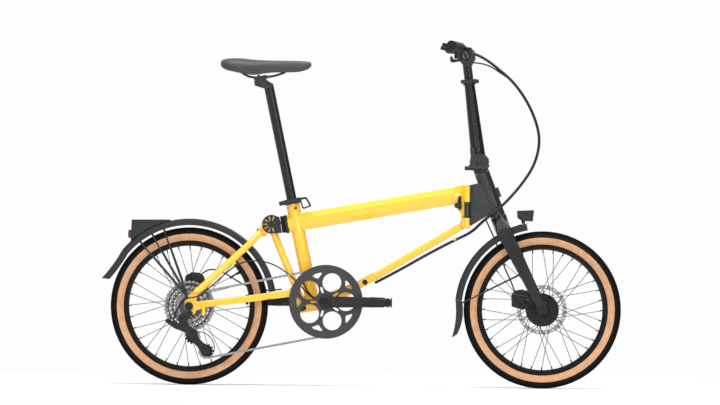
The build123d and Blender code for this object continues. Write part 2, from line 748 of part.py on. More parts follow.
def saddle_rails():
    """Two steel rails bent at both ends."""
    rail = cable([(150, 31, 1011), (188, 23, 989), (262, 23, 994), (300, 12, 1008)], 3.5)
    return Compound([rail, mirror(rail, Plane.XZ)])


def saddle():
    """Padded seat as one plain closed body."""
    side = slab([(92, 1032), (105, 1050), (138, 1052.5), (170, 1051), (211, 1046), (289, 1045.5), (345, 1045),
                 (375, 1042), (384, 1034), (376, 1022), (341, 1011), (296, 1006), (242, 1012), (205, 1010),
                 (150, 1008), (112, 1022)], -75, 75)
    top = plan([(92, -28), (108, -62), (140, -73), (175, -68), (220, -42), (270, -24), (372, -17), (384, -8),
                (384, 8), (372, 17), (270, 24), (220, 42), (175, 68), (140, 73), (108, 62), (92, 28)], 990, 1060)
    return (side & top) - saddle_rails()


# ---- Head and fork ----


def head_frame():
    """Head tube in its cast box, with the hinge barrel."""
    face_x = joint_x + joint_gap / 2
    box = slab([(face_x, 651), (925, 658.5), (952, 650), (984, 566), (953, 552), (902, 521), (face_x, 523)],
               -21.5, 21.5)
    upper = [(908, 643), (943, 647), (956, 639), (972, 609), (970, 598), (920, 587), (908, 594), (904, 603)]
    lower = [(904, 565), (920, 573), (962, 591), (972, 586), (955, 560), (905, 528), (899, 536), (899, 554)]
    for outline in (upper, lower):
        box -= slab(outline, -25, -20, 3) + slab(outline, 20, 25, 3)
    tube = rod(steer_axis(head_tube_bottom), steer_axis(head_tube_top), head_tube_r)
    barrel = rod((hinge_pin[0], hinge_pin[1], 547), (hinge_pin[0], hinge_pin[1], 597), knuckle_r)
    web = plan([(hinge_pin[0], -45), (900, -30), (903, -20), (face_x, -20), (face_x, -36), (hinge_pin[0], -36)],
               547, 597)
    lean = radians(steer_tilt)
    mid = Vector(*steer_axis(carrier_z)) + Vector(cos(lean), 0, sin(lean)) * (carrier_face - carrier_depth / 2)
    front = Plane(origin=mid, x_dir=(0, 1, 0), z_dir=(cos(lean), 0, sin(lean)))
    shape = box + tube + barrel + web + front * Box(22, carrier_bolt_gap + 16, carrier_depth)
    for up in (-carrier_bolt_gap / 2, carrier_bolt_gap / 2):
        hole_mid = (carrier_depth - carrier_bolt_depth) / 2
        shape -= front * Pos(0, up, hole_mid) * Cylinder(carrier_bolt_r, carrier_bolt_depth)
    shape -= rod((hinge_pin[0], hinge_pin[1], 500), (hinge_pin[0], hinge_pin[1], 660), hinge_pin_r + 0.2)
    return shape - rod(steer_axis(500), steer_axis(740), steerer_r + 2.5)


def blade_sections():
    """Station and size of the right blade's sections: (x, y, z), fore-aft size, thickness."""
    lean = radians(steer_tilt)
    top = (steer_x(head_tube_bottom) + crown_len * sin(lean), head_tube_bottom - crown_len * cos(lean))
    return [((top[0], 45.5, top[1]), 50, 17), ((front_x - 10, 56, axle_z + 24), 30, 12)]


def fork():
    """Steerer, crown, two blades with dropouts, and the fixed front axle with its nuts."""
    lean = radians(steer_tilt)
    down = (sin(lean), 0, -cos(lean))
    head = steer_axis(head_tube_bottom - 0.5)
    steerer = rod(steer_axis(head_tube_bottom - 12), steer_axis(post_hinge_z - 8), steerer_r)
    crown_plane = Plane(origin=head, x_dir=(0, 1, 0), z_dir=down)
    crown = crown_plane * loft([Circle(26), Pos(0, 0, crown_len) * RectangleRounded(109, 50, 8)])
    (top_at, top_l, top_w), (low_at, low_l, low_w) = blade_sections()
    upper = Plane(origin=top_at, x_dir=(0, 1, 0), z_dir=down) * RectangleRounded(top_w, top_l, 6)
    lower = Plane(origin=low_at, x_dir=(0, 1, 0), z_dir=(0.1, 0, -0.99)) * RectangleRounded(low_w, low_l, 5)
    blade = loft([upper, lower])
    inner = front_over_locknut / 2
    dropout_plate = slab([(front_x - 26, axle_z + 26), (front_x + 6, axle_z + 26), (front_x + 16, axle_z + 4),
                          (front_x + 12, axle_z - 14), (front_x - 12, axle_z - 14), (front_x - 18, axle_z)],
                         inner, inner + 11, 4)
    side = blade + dropout_plate - across((front_x, axle_z), 40, 80, axle_r)
    body = steerer + crown + side + mirror(side, Plane.XZ)
    axle = across((front_x, axle_z), -inner - 18, inner + 18, axle_r)
    for s in (-1, 1):
        axle += across((front_x, axle_z), s * (inner + 11), s * (inner + 20), 10)
    return Compound([body, axle])


def stem_base():
    """Lower half of the handlepost hinge, clamped on the steerer."""
    z = post_hinge_z - 0.4
    neck = rod(steer_axis(head_tube_top + 0.6), steer_axis(z + 12), head_tube_r - 0.5)
    lug = slab([(899, 703), (896, z), (958, z), (960, 712), (946, 700), (920, 694)], -30, 30, 2)
    shape = neck + lug
    shape += rod((914, post_hinge_y, post_hinge_z), (941, post_hinge_y, post_hinge_z), 8)
    shape += plan([(914, 25), (941, 25), (941, 40), (914, 40)], 706, z)
    shape -= plan([(850, -60), (1000, -60), (1000, 25), (850, 25)], z, z + 60)
    shape -= rod((890, post_hinge_y, post_hinge_z), (913.6, post_hinge_y, post_hinge_z), 8.5)
    shape -= rod((941.4, post_hinge_y, post_hinge_z), (970, post_hinge_y, post_hinge_z), 8.5)
    shape -= rod((800, post_hinge_y, post_hinge_z), (1000, post_hinge_y, post_hinge_z), 3.2)
    shape -= rod(steer_axis(600), steer_axis(post_hinge_z - 8), steerer_r)
    ear = rod((900, -37, 706), (930, -37, 706), 7) + plan([(904, -37), (926, -37), (926, -28), (904, -28)], 701, 711)
    ear -= rod((880, -37, 706), (950, -37, 706), 3)
    ear -= plan([(910, -60), (920, -60), (920, -30.2), (910, -30.2)], 690, 720)
    return shape + ear


def handlepost():
    """Upper hinge half, tapered outer post and its clamp collar."""
    z = post_hinge_z + 0.4
    shape = taper(post_axis(738), post_axis(outer_top_z), 23.4, inner_post_r + 1.6)
    lug = slab([(896, z), (899, 742), (908, 752), (944, 752), (957, 738), (959, z)], -29, 29, 2)
    shape += lug
    for x0, x1 in ((900, 913.4), (941.6, 955)):
        shape += rod((x0, post_hinge_y, post_hinge_z), (x1, post_hinge_y, post_hinge_z), 8)
        shape += plan([(x0, 20), (x1, 20), (x1, 40), (x0, 40)], z, 734)
    shape -= rod((913.4, post_hinge_y, post_hinge_z), (941.6, post_hinge_y, post_hinge_z), 8.5)
    shape -= plan([(850, -60), (1000, -60), (1000, 25), (850, 25)], 600, z)
    pin = rod((899, post_hinge_y, post_hinge_z), (956, post_hinge_y, post_hinge_z), 3)
    collar = rod(post_axis(outer_top_z - 4), post_axis(outer_top_z + 12), 20.5)
    collar += Plane(origin=(post_x(982) - 20, 0, 984)) * Box(14, 20, 12)
    collar += Plane(origin=(post_x(982) + 23, 0, 986)) * Box(14, 20, 12)
    shape += collar
    shape -= rod(post_axis(780), post_axis(1040), inner_post_r + running_gap)
    shape = shape - rod((895, post_hinge_y, post_hinge_z), (960, post_hinge_y, post_hinge_z), 3)
    return Compound([shape, pin])


def stem_latch():
    """Latch lever that pulls the hinge shut, on the side away from the pin."""
    hub = rod((910.4, -37, 706), (919.6, -37, 706), 6.4) + rod((880, -37, 706), (899.6, -37, 706), 6.6)
    hub += rod((899.6, -37, 706), (932, -37, 706), 2.8)
    arm = Plane(origin=(907, -36, 740), z_dir=(-0.1, 0, 1)) * Box(16, 7, 64)
    arm += rod((891, -37, 706), (900, -36, 716), 5)
    return hub + arm - stem_base() - plan([(880, -30.2), (940, -30.2), (940, 0), (880, 0)], 690, 800)


def post_clamp_lever():
    """Small cam lever of the telescope clamp."""
    x = post_x(986)
    shape = slab([(x - 22, 978), (x - 22, 990), (x + 14, 994), (x + 14, 982)], -28, -22.5, 2)
    return shape + rod((x + 25, -16.6, 980), (x + 25, -16.6, 992), 6) + slab([(x + 8, 981), (x + 8, 993), (x + 24, 993),
                                                                  (x + 24, 981)], -26, -22.5)


clamp_at = (881.0, 1064.0)
bar_points = [(830, -bar_half_width + 1, 1095), (868, -112, 1090), (881, -48, 1064), (881, 48, 1064),
              (868, 112, 1090), (830, bar_half_width - 1, 1095)]


def bar_tube(r, grow=0.0):
    path = stay_path(bar_points)
    return sweep(Plane(origin=path @ 0, z_dir=path % 0) * Circle(r), path=path)


def handlebar():
    """Inner post, bar clamp and the swept bar."""
    post = rod(post_axis(842), post_axis(1052), inner_post_r)
    head = slab([(852, 1060), (868, 1041), (883, 1032), (899, 1033), (912, 1058), (909, 1070), (893, 1079),
                 (869, 1079)], -24, 24, 3)
    return post + head + bar_tube(bar_r)


def grips():
    """Two grips with palm rests behind, slid on the bar's ends."""
    inward = (Vector(868, 112, 1090) - Vector(830, bar_half_width - 1, 1095)).normalized()
    start = Vector(830, bar_half_width - 1, 1095)
    tail = start - inward * 1
    root = start + inward * grip_len
    grip = rod(tuple(tail), tuple(root), grip_r)
    wing = Plane(origin=tuple(start + inward * 42 + Vector(-16, 0, -1)), x_dir=tuple(inward), z_dir=(0.25, 0, 1))
    palm = wing * extrude(RectangleRounded(80, 34, 14), 6, both=True)
    solid = grip + palm - bar_tube(bar_r)
    return Compound([solid, mirror(solid, Plane.XZ)])


def bar_spot(y):
    """Point on the straight outer part of the bar at distance y from the middle."""
    a, b = bar_points[4], bar_points[5]
    t = (y - a[1]) / (b[1] - a[1])
    return (a[0] + (b[0] - a[0]) * t, y, a[2] + (b[2] - a[2]) * t)


lever_pivot = (bar_spot(132)[0] + 30, 132.0, bar_spot(132)[2] - 12)
lever_pin_r = 2.5


def bar_controls():
    """Brake clamps and reservoirs on both sides, shifter housing, bell and display."""
    x, y, z = bar_spot(132)
    band = rod(bar_spot(122), bar_spot(140), 16)
    tank = rod((x + 20, 100, z - 4), (x + 27, 142, z - 6), 8) + bar((x + 12, 131, z - 3), (x + 24, 131, z - 5), 14, 16)
    px, py, pz = lever_pivot
    tank -= plan([(x + 17, 121), (x + 60, 121), (x + 60, 260), (x + 17, 260)], pz - 9, pz + 5.6)
    pin = rod((px, py, pz - 8), (px, py, z - 3), lever_pin_r)
    brake = band + tank + pin - bar_tube(bar_r)
    cam = rod(bar_spot(104), bar_spot(116), 15.5) - bar_tube(bar_r)
    shifter = mirror(cam, Plane.XZ) + rod((x - 8, -110, z - 34.6), (x - 8, -110, z - 12), 14)
    shifter -= bar_tube(bar_r)
    bell = Plane(origin=(888, 40, 1085), z_dir=(0.3, 0, 0.95)) * Cylinder(12, 20) - handlebar()
    display = Plane(origin=(872, -34, 1082), z_dir=(-0.3, 0, 0.95)) * Box(30, 34, 9) - handlebar()
    return Compound([brake, mirror(brake, Plane.XZ), shifter, bell, display])


def brake_lever():
    """Left lever blade, on an upright pivot ahead of the bar."""
    px, py, pz = lever_pivot
    shape = rod((px, py, pz - 8), (px, py, pz + 5), 6.8)
    outline = [(px - 4, py - 3), (px + 6, py - 2), (px + 12, 170), (px + 2, 232), (px - 6, 240), (px - 12, 234),
               (px + 1, 172)]
    shape += plan(outline, pz - 7, pz + 4, 2)
    return shape - rod((px, py, pz - 9), (px, py, pz + 6), lever_pin_r + 0.3)


def shift_trigger():
    x, y, z = bar_spot(110)
    paddle = plan([(x - 34, -120), (x - 40, -112), (x - 30, -98), (x - 10, -104), (x - 8, -116)], z - 39.4, z - 34.2, 2)
    return paddle + rod((x - 8, -110, z - 39.4), (x - 8, -110, z - 34.2), 6)


def front_fender():
    """Fender shell, crown bolt tab, mudflap and wire stays."""
    at = (front_x, axle_z)
    shell = fender_shell(at, 101, 174)
    flap = mudflap(at, 174.2, 197.5, 303, 18)
    tab = rod((1002, 0, 498), (993, 0, 520), 5) - fork()
    tab -= across(at, -20, 20, fender_r + 0.05)
    wire = rod((868, 33.4, 268), (1066, 50, 368), 2.2) - fork()
    return Compound([shell, flap, tab, wire, mirror(wire, Plane.XZ)])


def headlight():
    """Lamp on its knuckle and the bracket from the fender's nose."""
    lamp = slab([(1050, 571), (1105, 574), (1101, 537), (1079, 538), (1063, 540), (1052, 548)], -22, 22, 3)
    knuckle = rod((1071, 0, 529.5), (1071, 0, 541), 6)
    nose = slab([(1026, 517), (1031, 517), (1060, 527), (1087, 531), (1083, 516), (1062, 500), (1026, 498)], -14, 14)
    nose -= across((front_x, axle_z), -20, 20, fender_r + 0.3)
    return lamp + knuckle + (nose - fork())


def front_caliper():
    """Two halves that straddle the front disc, on a bracket from the left blade, with its hose."""
    body = slab([(1037, 262), (1036, 300), (1046, 314), (1072, 318), (1102, 306), (1106, 268), (1076, 252)], 31, 58, 4)
    y0 = front_rotor_y - 1
    y1 = front_rotor_y + rotor_t + 1
    body -= across((front_x, axle_z), y0, y1, front_rotor_r + 1.5)
    body -= across((front_x, axle_z), 20, y0 + 0.1, 60)
    hose = cable([(949, 34, 545), (961, 38, 520), (972, 41, 496), (988, 45, 460), (1002, 49, 420), (1016, 54, 380),
                  (1034, 57, 345), (1046, 53, 312)], 2.4)
    return Compound([body - fork(), hose - body - fork()])


# ---- Cables ----


def control_cables():
    """Bundle from the bar clamp, down past the head and along under the down tube."""
    bundle = cable([(912, -14, 1073), (946, -18, 1052), (983, -22, 1022), (1026, -26, 987), (1062, -30, 946),
                    (1090, -32, 900), (1111, -33, 848), (1118, -33, 800), (1112, -33, 752), (1096, -33, 708),
                    (1068, -33, 664), (1034, -34, 622), (999, -35, 586), (965, -36, 559), (936, -30, 536),
                    (905, -8, 507), (850, -2, 478), (760, -3, 432), (670, 2, 372), (590, 0, 331)], 5.0)
    return bundle - slab([(540, 300), (545, 345), (592, 372), (600, 340)], -15.1, 15.1)


def rear_cables():
    """Shift cable and rear brake hose, from the pivot lug over the fender's front to the stays."""
    shift = cable([(356, -41, 326), (322, -42, 356), (284, -43, 384), (243, -44, 399), (198, -46, 402),
                   (156, -51, 391), (120, -56.5, 363), (84, -61.5, 330), (52, -70, 300), (24, -82, 282), (-8, -83.5, 280),
                   (-31, -82.5, 256), (-42, -79, 234), (-50, -78, 206)], 2.2)
    hose = cable([(33, 49, 352), (54, 46, 371), (88, 44, 371), (122, 43, 354), (160, 43, 330), (205, 42, 308),
                  (250, 39, 305), (296, 38.5, 309.5)], 2.4)
    return Compound([shift - derailleur_body(), hose - rear_caliper()])


os.makedirs("parts", exist_ok=True)

nodes = {
    "main_tube": main_tube, "seat_tube": seat_tube, "down_tube": down_tube,
    "bottom_bracket_lug": bottom_bracket_lug, "frame_pins": frame_pins, "rear_end_cap": rear_end_cap,
    "suspension_pad": suspension_pad, "seat_clamp": seat_clamp, "seat_clamp_lever": seat_clamp_lever,
    "hinge_latch": hinge_latch, "chain_stays": chain_stays, "rear_struts": rear_struts,
    "seat_stays": seat_stays, "suspension_hub": suspension_hub, "rear_axle": rear_axle,
    "rear_fender": rear_fender, "rear_light": rear_light, "rear_caliper": rear_caliper,
    "derailleur_body": derailleur_body, "derailleur_cage": derailleur_cage, "cassette": cassette,
    "chainring": chainring, "crank_arms": crank_arms, "chain": chain, "seatpost": seatpost,
    "saddle_rails": saddle_rails, "saddle": saddle, "head_frame": head_frame, "fork": fork,
    "front_fender": front_fender, "headlight": headlight, "front_caliper": front_caliper,
    "hub_motor": hub_motor, "rear_hub": rear_hub, "stem_base": stem_base, "handlepost": handlepost,
    "stem_latch": stem_latch, "post_clamp_lever": post_clamp_lever, "handlebar": handlebar, "grips": grips,
    "bar_controls": bar_controls, "shift_trigger": shift_trigger, "control_cables": control_cables,
    "rear_cables": rear_cables,
}
for name, make in nodes.items():
    save(name, make())
for name, x in (("rear", 0.0), ("front", front_x)):
    save(f"{name}_tyre", tyre(x))
    save(f"{name}_rim", rim(x))
save("rear_spokes", spokes(0.0, 32, 26, 31.7, -22.2, 67.5))
save("front_spokes", spokes(front_x, 36, motor_r + 1, 25, -25, 30))
save("rear_rotor", rotor(0.0, rear_rotor_y, rear_rotor_r, 14))
save("front_rotor", rotor(front_x, front_rotor_y, front_rotor_r, 16))
save("guide_pulley", jockey_wheel(guide_at))
save("tension_pulley", jockey_wheel(tension_at))
save("pedal_right", pedal(bb_x + crank_len, -1))
save("pedal_left", pedal(bb_x - crank_len, 1))
save("brake_lever_left", brake_lever())
save("brake_lever_right", mirror(brake_lever(), Plane.XZ))
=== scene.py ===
import json
import math
import bmesh
import bpy
from mathutils import Matrix, Vector


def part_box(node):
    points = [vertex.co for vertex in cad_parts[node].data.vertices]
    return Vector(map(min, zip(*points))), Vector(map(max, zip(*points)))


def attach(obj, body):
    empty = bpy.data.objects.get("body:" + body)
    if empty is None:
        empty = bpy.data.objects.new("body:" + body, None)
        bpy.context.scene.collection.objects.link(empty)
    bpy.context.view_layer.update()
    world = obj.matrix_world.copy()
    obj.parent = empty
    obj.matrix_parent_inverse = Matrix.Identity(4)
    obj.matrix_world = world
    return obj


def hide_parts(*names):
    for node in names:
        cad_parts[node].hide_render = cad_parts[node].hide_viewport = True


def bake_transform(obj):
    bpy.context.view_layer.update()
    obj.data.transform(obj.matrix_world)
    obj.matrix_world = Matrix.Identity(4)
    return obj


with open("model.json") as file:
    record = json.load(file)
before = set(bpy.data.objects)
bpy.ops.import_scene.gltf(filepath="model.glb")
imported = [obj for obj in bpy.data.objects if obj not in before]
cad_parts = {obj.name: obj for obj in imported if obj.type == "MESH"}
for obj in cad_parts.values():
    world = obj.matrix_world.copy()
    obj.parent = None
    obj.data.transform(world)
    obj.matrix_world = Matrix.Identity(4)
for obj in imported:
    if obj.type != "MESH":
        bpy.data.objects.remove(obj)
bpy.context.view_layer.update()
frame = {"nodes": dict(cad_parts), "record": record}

# ---- Studio ----
# A pale floor that fades into the backdrop and a long lens level with the top tube. Soft boxes hang
# overhead, near and far, with a low bar and a tall strip that draw the streaks along the tubes.

wheel_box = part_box("rear_tyre")
rear_x = (wheel_box[0][0] + wheel_box[1][0]) / 2


def spot(x, y, z):
    """Point x millimetres forward of the rear axle, y to the left and z above the floor."""
    return Vector((rear_x + x / 1000, y / 1000, z / 1000))


def blank_finish(name):
    """New material, its nodes with their shader, and its links."""
    material = bpy.data.materials.new(name)
    material.use_nodes = True
    return material, material.node_tree.nodes, material.node_tree.links


backdrop_white = (0.985, 0.985, 0.985, 1)
world = bpy.data.worlds.new("studio")
bpy.context.scene.world = world
world.use_nodes = True
world.node_tree.nodes["Background"].inputs["Color"].default_value = backdrop_white
world.node_tree.nodes["Background"].inputs["Strength"].default_value = 0.2

floor_mesh = bmesh.new()
bmesh.ops.create_circle(floor_mesh, cap_ends=True, segments=64, radius=190)
floor_data = bpy.data.meshes.new("floor")
floor_mesh.to_mesh(floor_data)
floor_mesh.free()
floor = bpy.data.objects.new("floor", floor_data)
bpy.context.collection.objects.link(floor)
floor_paint, nodes, links = blank_finish("floor_white")
nodes["Principled BSDF"].inputs["Base Color"].default_value = (0.95, 0.95, 0.95, 1)
nodes["Principled BSDF"].inputs["Roughness"].default_value = 0.9
where = nodes.new("ShaderNodeTexCoord")
length = nodes.new("ShaderNodeVectorMath")
length.operation = "LENGTH"
links.new(where.outputs["Object"], length.inputs[0])
fade = nodes.new("ShaderNodeMapRange")
fade.inputs["From Min"].default_value = 0.9
fade.inputs["From Max"].default_value = 2.6
links.new(length.outputs["Value"], fade.inputs["Value"])
glow = nodes.new("ShaderNodeEmission")
glow.inputs["Color"].default_value = backdrop_white
blend_floor = nodes.new("ShaderNodeMixShader")
links.new(fade.outputs["Result"], blend_floor.inputs["Fac"])
links.new(nodes["Principled BSDF"].outputs["BSDF"], blend_floor.inputs[1])
links.new(glow.outputs["Emission"], blend_floor.inputs[2])
links.new(blend_floor.outputs["Shader"], nodes["Material Output"].inputs["Surface"])
floor_data.materials.append(floor_paint)
dome_mesh = bmesh.new()
bmesh.ops.create_icosphere(dome_mesh, subdivisions=4, radius=200)
dome_data = bpy.data.meshes.new("backdrop")
dome_mesh.to_mesh(dome_data)
dome_mesh.free()
backdrop = bpy.data.objects.new("backdrop", dome_data)
bpy.context.collection.objects.link(backdrop)
backdrop_paint, nodes, links = blank_finish("backdrop_white")
nodes.remove(nodes["Principled BSDF"])
glow = nodes.new("ShaderNodeEmission")
glow.inputs["Color"].default_value = backdrop_white
links.new(glow.outputs["Emission"], nodes["Material Output"].inputs["Surface"])
dome_data.materials.append(backdrop_paint)
backdrop.visible_diffuse = backdrop.visible_glossy = backdrop.visible_shadow = False
backdrop.visible_transmission = backdrop.visible_volume_scatter = False

camera_data = bpy.data.cameras.new("camera")
camera = bpy.data.objects.new("camera", camera_data)
bpy.context.collection.objects.link(camera)
camera_data.lens = 400
camera_data.sensor_width = 36
view_width = 2.316
view_tilt = math.radians(0.65)
camera_distance = view_width * camera_data.lens / camera_data.sensor_width
camera.location = spot(545, 0, 592) + Vector((0, -camera_distance, 0))
camera.rotation_euler = (math.radians(90), -view_tilt, 0)
camera_data.clip_end = 400
bpy.context.scene.camera = camera
bpy.context.scene.view_settings.view_transform = "Standard"

for name, place, aim, size, power in (
    ("soft_box_top", (0, -0.5, 3.2), (0, 0, 0.5), (4.4, 1.4), 130),
    ("soft_box_near", (-1.0, -3.6, 3.2), (0, 0, 0.6), (3.6, 0.7), 72),
    ("soft_box_low", (-0.3, -4.4, 0.9), (0, 0, 0.6), (3.4, 0.25), 18),
    ("strip_right", (2.7, -3.6, 0.8), (0, 0, 0.6), (0.4, 2.6), 28),
    ("soft_box_far", (0.6, 4.2, 2.4), (0, 0, 0.5), (3.6, 1.4), 75),
):
    light_data = bpy.data.lights.new(name, "AREA")
    light_data.shape = "RECTANGLE"
    light_data.size, light_data.size_y = size
    light_data.energy = power
    light = bpy.data.objects.new(name, light_data)
    bpy.context.collection.objects.link(light)
    light.location = place
    light.rotation_mode = "QUATERNION"
    light.rotation_quaternion = (Vector(aim) - Vector(place)).to_track_quat("-Z", "Y")

# ---- Control cables ----
# Brake hose, shift cable and motor wires in one smooth black sleeve. It arches forward from the
# bar, comes back beside the head and runs under the down tube, cut into four pieces at the folds.


def surface(name, colour, roughness, metal=0.0, coat=0.0, mottle=0.12, patch=18.0, grain=1400.0, bump=0.12,
            specular=0.5):
    """Finish with slow changes of tone and roughness over a fine grain."""
    material, nodes, links = blank_finish(name)
    shader = nodes["Principled BSDF"]
    shader.inputs["Metallic"].default_value = metal
    shader.inputs["Coat Weight"].default_value = coat
    shader.inputs["Coat Roughness"].default_value = 0.08
    shader.inputs["Specular IOR Level"].default_value = specular
    place = nodes.new("ShaderNodeTexCoord")
    slow = nodes.new("ShaderNodeTexNoise")
    slow.inputs["Scale"].default_value = patch
    slow.inputs["Detail"].default_value = 5
    links.new(place.outputs["Object"], slow.inputs["Vector"])
    tone = nodes.new("ShaderNodeMix")
    tone.data_type = "RGBA"
    tone.inputs["A"].default_value = (*[c * (1 - mottle) for c in colour], 1)
    tone.inputs["B"].default_value = (*[min(1.0, c * (1 + mottle)) for c in colour], 1)
    links.new(slow.outputs["Fac"], tone.inputs["Factor"])
    links.new(tone.outputs["Result"], shader.inputs["Base Color"])
    rough = nodes.new("ShaderNodeMapRange")
    rough.inputs["To Min"].default_value = roughness * 0.85
    rough.inputs["To Max"].default_value = min(1.0, roughness * 1.15)
    links.new(slow.outputs["Fac"], rough.inputs["Value"])
    links.new(rough.outputs["Result"], shader.inputs["Roughness"])
    fine = nodes.new("ShaderNodeTexNoise")
    fine.inputs["Scale"].default_value = grain
    fine.inputs["Detail"].default_value = 2
    links.new(place.outputs["Object"], fine.inputs["Vector"])
    relief = nodes.new("ShaderNodeBump")
    relief.inputs["Strength"].default_value = bump
    relief.inputs["Distance"].default_value = 0.0004
    links.new(fine.outputs["Fac"], relief.inputs["Height"])
    links.new(relief.outputs["Normal"], shader.inputs["Normal"])
    return material


cable_black = surface("cable_black", (0.008, 0.008, 0.009), 0.4, grain=900, bump=0.08, specular=0.35)


def piece_from(bm, name, materials, angle=35):
    """Object at the origin from a finished bmesh, shaded smooth up to that angle."""
    data = bpy.data.meshes.new(name)
    bm.to_mesh(data)
    bm.free()
    for material in materials:
        data.materials.append(material)
    data.shade_smooth()
    data.set_sharp_from_angle(angle=math.radians(angle))
    piece = bpy.data.objects.new(name, data)
    bpy.context.collection.objects.link(piece)
    return piece


def cable_bmesh(points, radius, sides=5):
    """Smooth tube along a spline whose control points are given in millimetres."""
    curve = bpy.data.curves.new("route", "CURVE")
    curve.dimensions = "3D"
    line = curve.splines.new("NURBS")
    line.points.add(len(points) - 1)
    for knot, place in zip(line.points, points):
        knot.co = (*spot(*place), 1)
    line.order_u = 3
    line.use_endpoint_u = True
    line.resolution_u = 8
    curve.bevel_depth = radius / 1000
    curve.bevel_resolution = sides
    curve.use_fill_caps = True
    holder = bpy.data.objects.new("route", curve)
    bpy.context.collection.objects.link(holder)
    bpy.context.view_layer.update()
    made = bpy.data.meshes.new_from_object(holder.evaluated_get(bpy.context.evaluated_depsgraph_get()))
    bm = bmesh.new()
    bm.from_mesh(made)
    bpy.data.objects.remove(holder)
    bmesh.ops.remove_doubles(bm, verts=bm.verts, dist=1e-6)
    bmesh.ops.recalc_face_normals(bm, faces=bm.faces)
    return bm


def kept_between(bm, low, high):
    """The part of a mesh between two heights in metres; None leaves that end whole."""
    for height, keep_above in ((low, True), (high, False)):
        if height is None:
            continue
        bmesh.ops.bisect_plane(bm, geom=bm.verts[:] + bm.edges[:] + bm.faces[:], plane_co=(0, 0, height),
                               plane_no=(0, 0, 1), clear_inner=keep_above, clear_outer=not keep_above)
    return bm


bundle_route = [(894, -9, 1079), (912, -14, 1073), (946, -18, 1056), (983, -22, 1028), (1026, -26, 992),
                (1062, -30, 948), (1090, -32, 900), (1111, -33, 848), (1120, -33, 800), (1114, -33, 752),
                (1097, -33, 706), (1068, -33, 662), (1034, -34, 620), (999, -35, 584), (965, -36, 556),
                (936, -30, 532), (905, -10, 500), (850, -2, 474), (760, -3, 426), (670, -1, 373),
                (596, 0, 334)]
thin_route = [(903, -10, 1046), (925, -14, 1044), (948, -18, 1039), (972, -21, 1027), (998, -23.5, 1009),
              (1014, -25, 999), (1032, -27, 985)]
bundle_radius = 4.6
thin_radius = 2.4
bar_height, clamp_height, stem_height, hinge_height, frame_height = 1.045, 0.960, 0.740, 0.600, 0.500
thin_cable = piece_from(cable_bmesh(thin_route, thin_radius, 3), "cable_thin", [cable_black])
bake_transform(thin_cable)
bundle_parts = (("bar", "handlebar", "handlepost", None, bar_height, clamp_height),
                ("post", "handlepost", "fork", clamp_height, clamp_height, stem_height),
                ("stem", "fork", "head", stem_height, stem_height, hinge_height),
                ("frame", "head", "frame", hinge_height, hinge_height, frame_height))
for name, upper_body, lower_body, high, start_z, end_z in bundle_parts:
    low = None if name == "frame" else end_z
    sleeve = kept_between(cable_bmesh(bundle_route, bundle_radius), low, high)
    piece = piece_from(sleeve, f"cable_bundle_{name}", [cable_black])
    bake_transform(piece)
    if name == "frame":
        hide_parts("control_cables")

# ---- Rear cables ----
# Shift cable from the pivot over the front of the fender to the derailleur, and the rear brake
# hose on the left, from its caliper to the front of the stays. Both are plain black casing.

shift_route = [(356, -41, 326), (322, -42, 356), (284, -43, 384), (243, -44, 399), (198, -46, 402),
               (156, -51, 391), (120, -56.5, 363), (84, -61.5, 330), (52, -70, 300), (24, -82, 282),
               (-8, -83.5, 280), (-31, -82.5, 256), (-42, -79, 234), (-50, -78, 206)]
hose_route = [(33, 49, 352), (54, 46, 371), (88, 44, 371), (122, 43, 354), (160, 43, 330), (205, 42, 308),
              (250, 39, 305), (296, 38.5, 309.5)]
shift_radius, hose_radius = 2.2, 2.4
shift_casing = piece_from(cable_bmesh(shift_route, shift_radius, 3), "shift_casing", [cable_black])
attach(shift_casing, "rear_triangle")
rear_hose = piece_from(cable_bmesh(hose_route, hose_radius, 3), "rear_hose", [cable_black])
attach(rear_hose, "rear_triangle")
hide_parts("rear_cables")

# ---- Tyres ----
# 20-inch road tyres: a black tread of small blocks over a tan sidewall, with a black bead where
# the tyre sits in the rim. The sidewall shows the fine threads of its casing.

front_x = 1135.0
axle_z = 253.0


def turned_bmesh(profile, steps, centre):
    """Closed profile of (radius, y) points in millimetres, spun about a wheel axis at (x, z)."""
    bm = bmesh.new()
    verts = [bm.verts.new(spot(centre[0] + r, y, centre[1])) for r, y in profile]
    edges = [bm.edges.new(pair) for pair in zip(verts, verts[1:] + verts[:1])]
    bmesh.ops.spin(bm, geom=verts + edges, cent=spot(centre[0], 0, centre[1]), axis=(0, 1, 0),
                   angle=2 * math.pi, steps=steps, use_merge=True)
    bmesh.ops.remove_doubles(bm, verts=bm.verts, dist=1e-6)
    bmesh.ops.recalc_face_normals(bm, faces=bm.faces)
    return bm


def wheel_radius(point, centre_x):
    """Distance of a point from the wheel's axis, in millimetres."""
    middle = spot(centre_x, 0, axle_z)
    return math.hypot(point.x - middle.x, point.z - middle.z) * 1000


def add_block(bm, centre, size, turn):
    """Box of that size in millimetres about a centre, turned about the y axis, into a mesh."""
    made = bmesh.ops.create_cube(bm, size=0.001)["verts"]
    bmesh.ops.scale(bm, vec=Vector(size), verts=made)
    bmesh.ops.rotate(bm, cent=(0, 0, 0), matrix=Matrix.Rotation(turn, 3, "Y"), verts=made)
    bmesh.ops.translate(bm, vec=centre, verts=made)
    return made


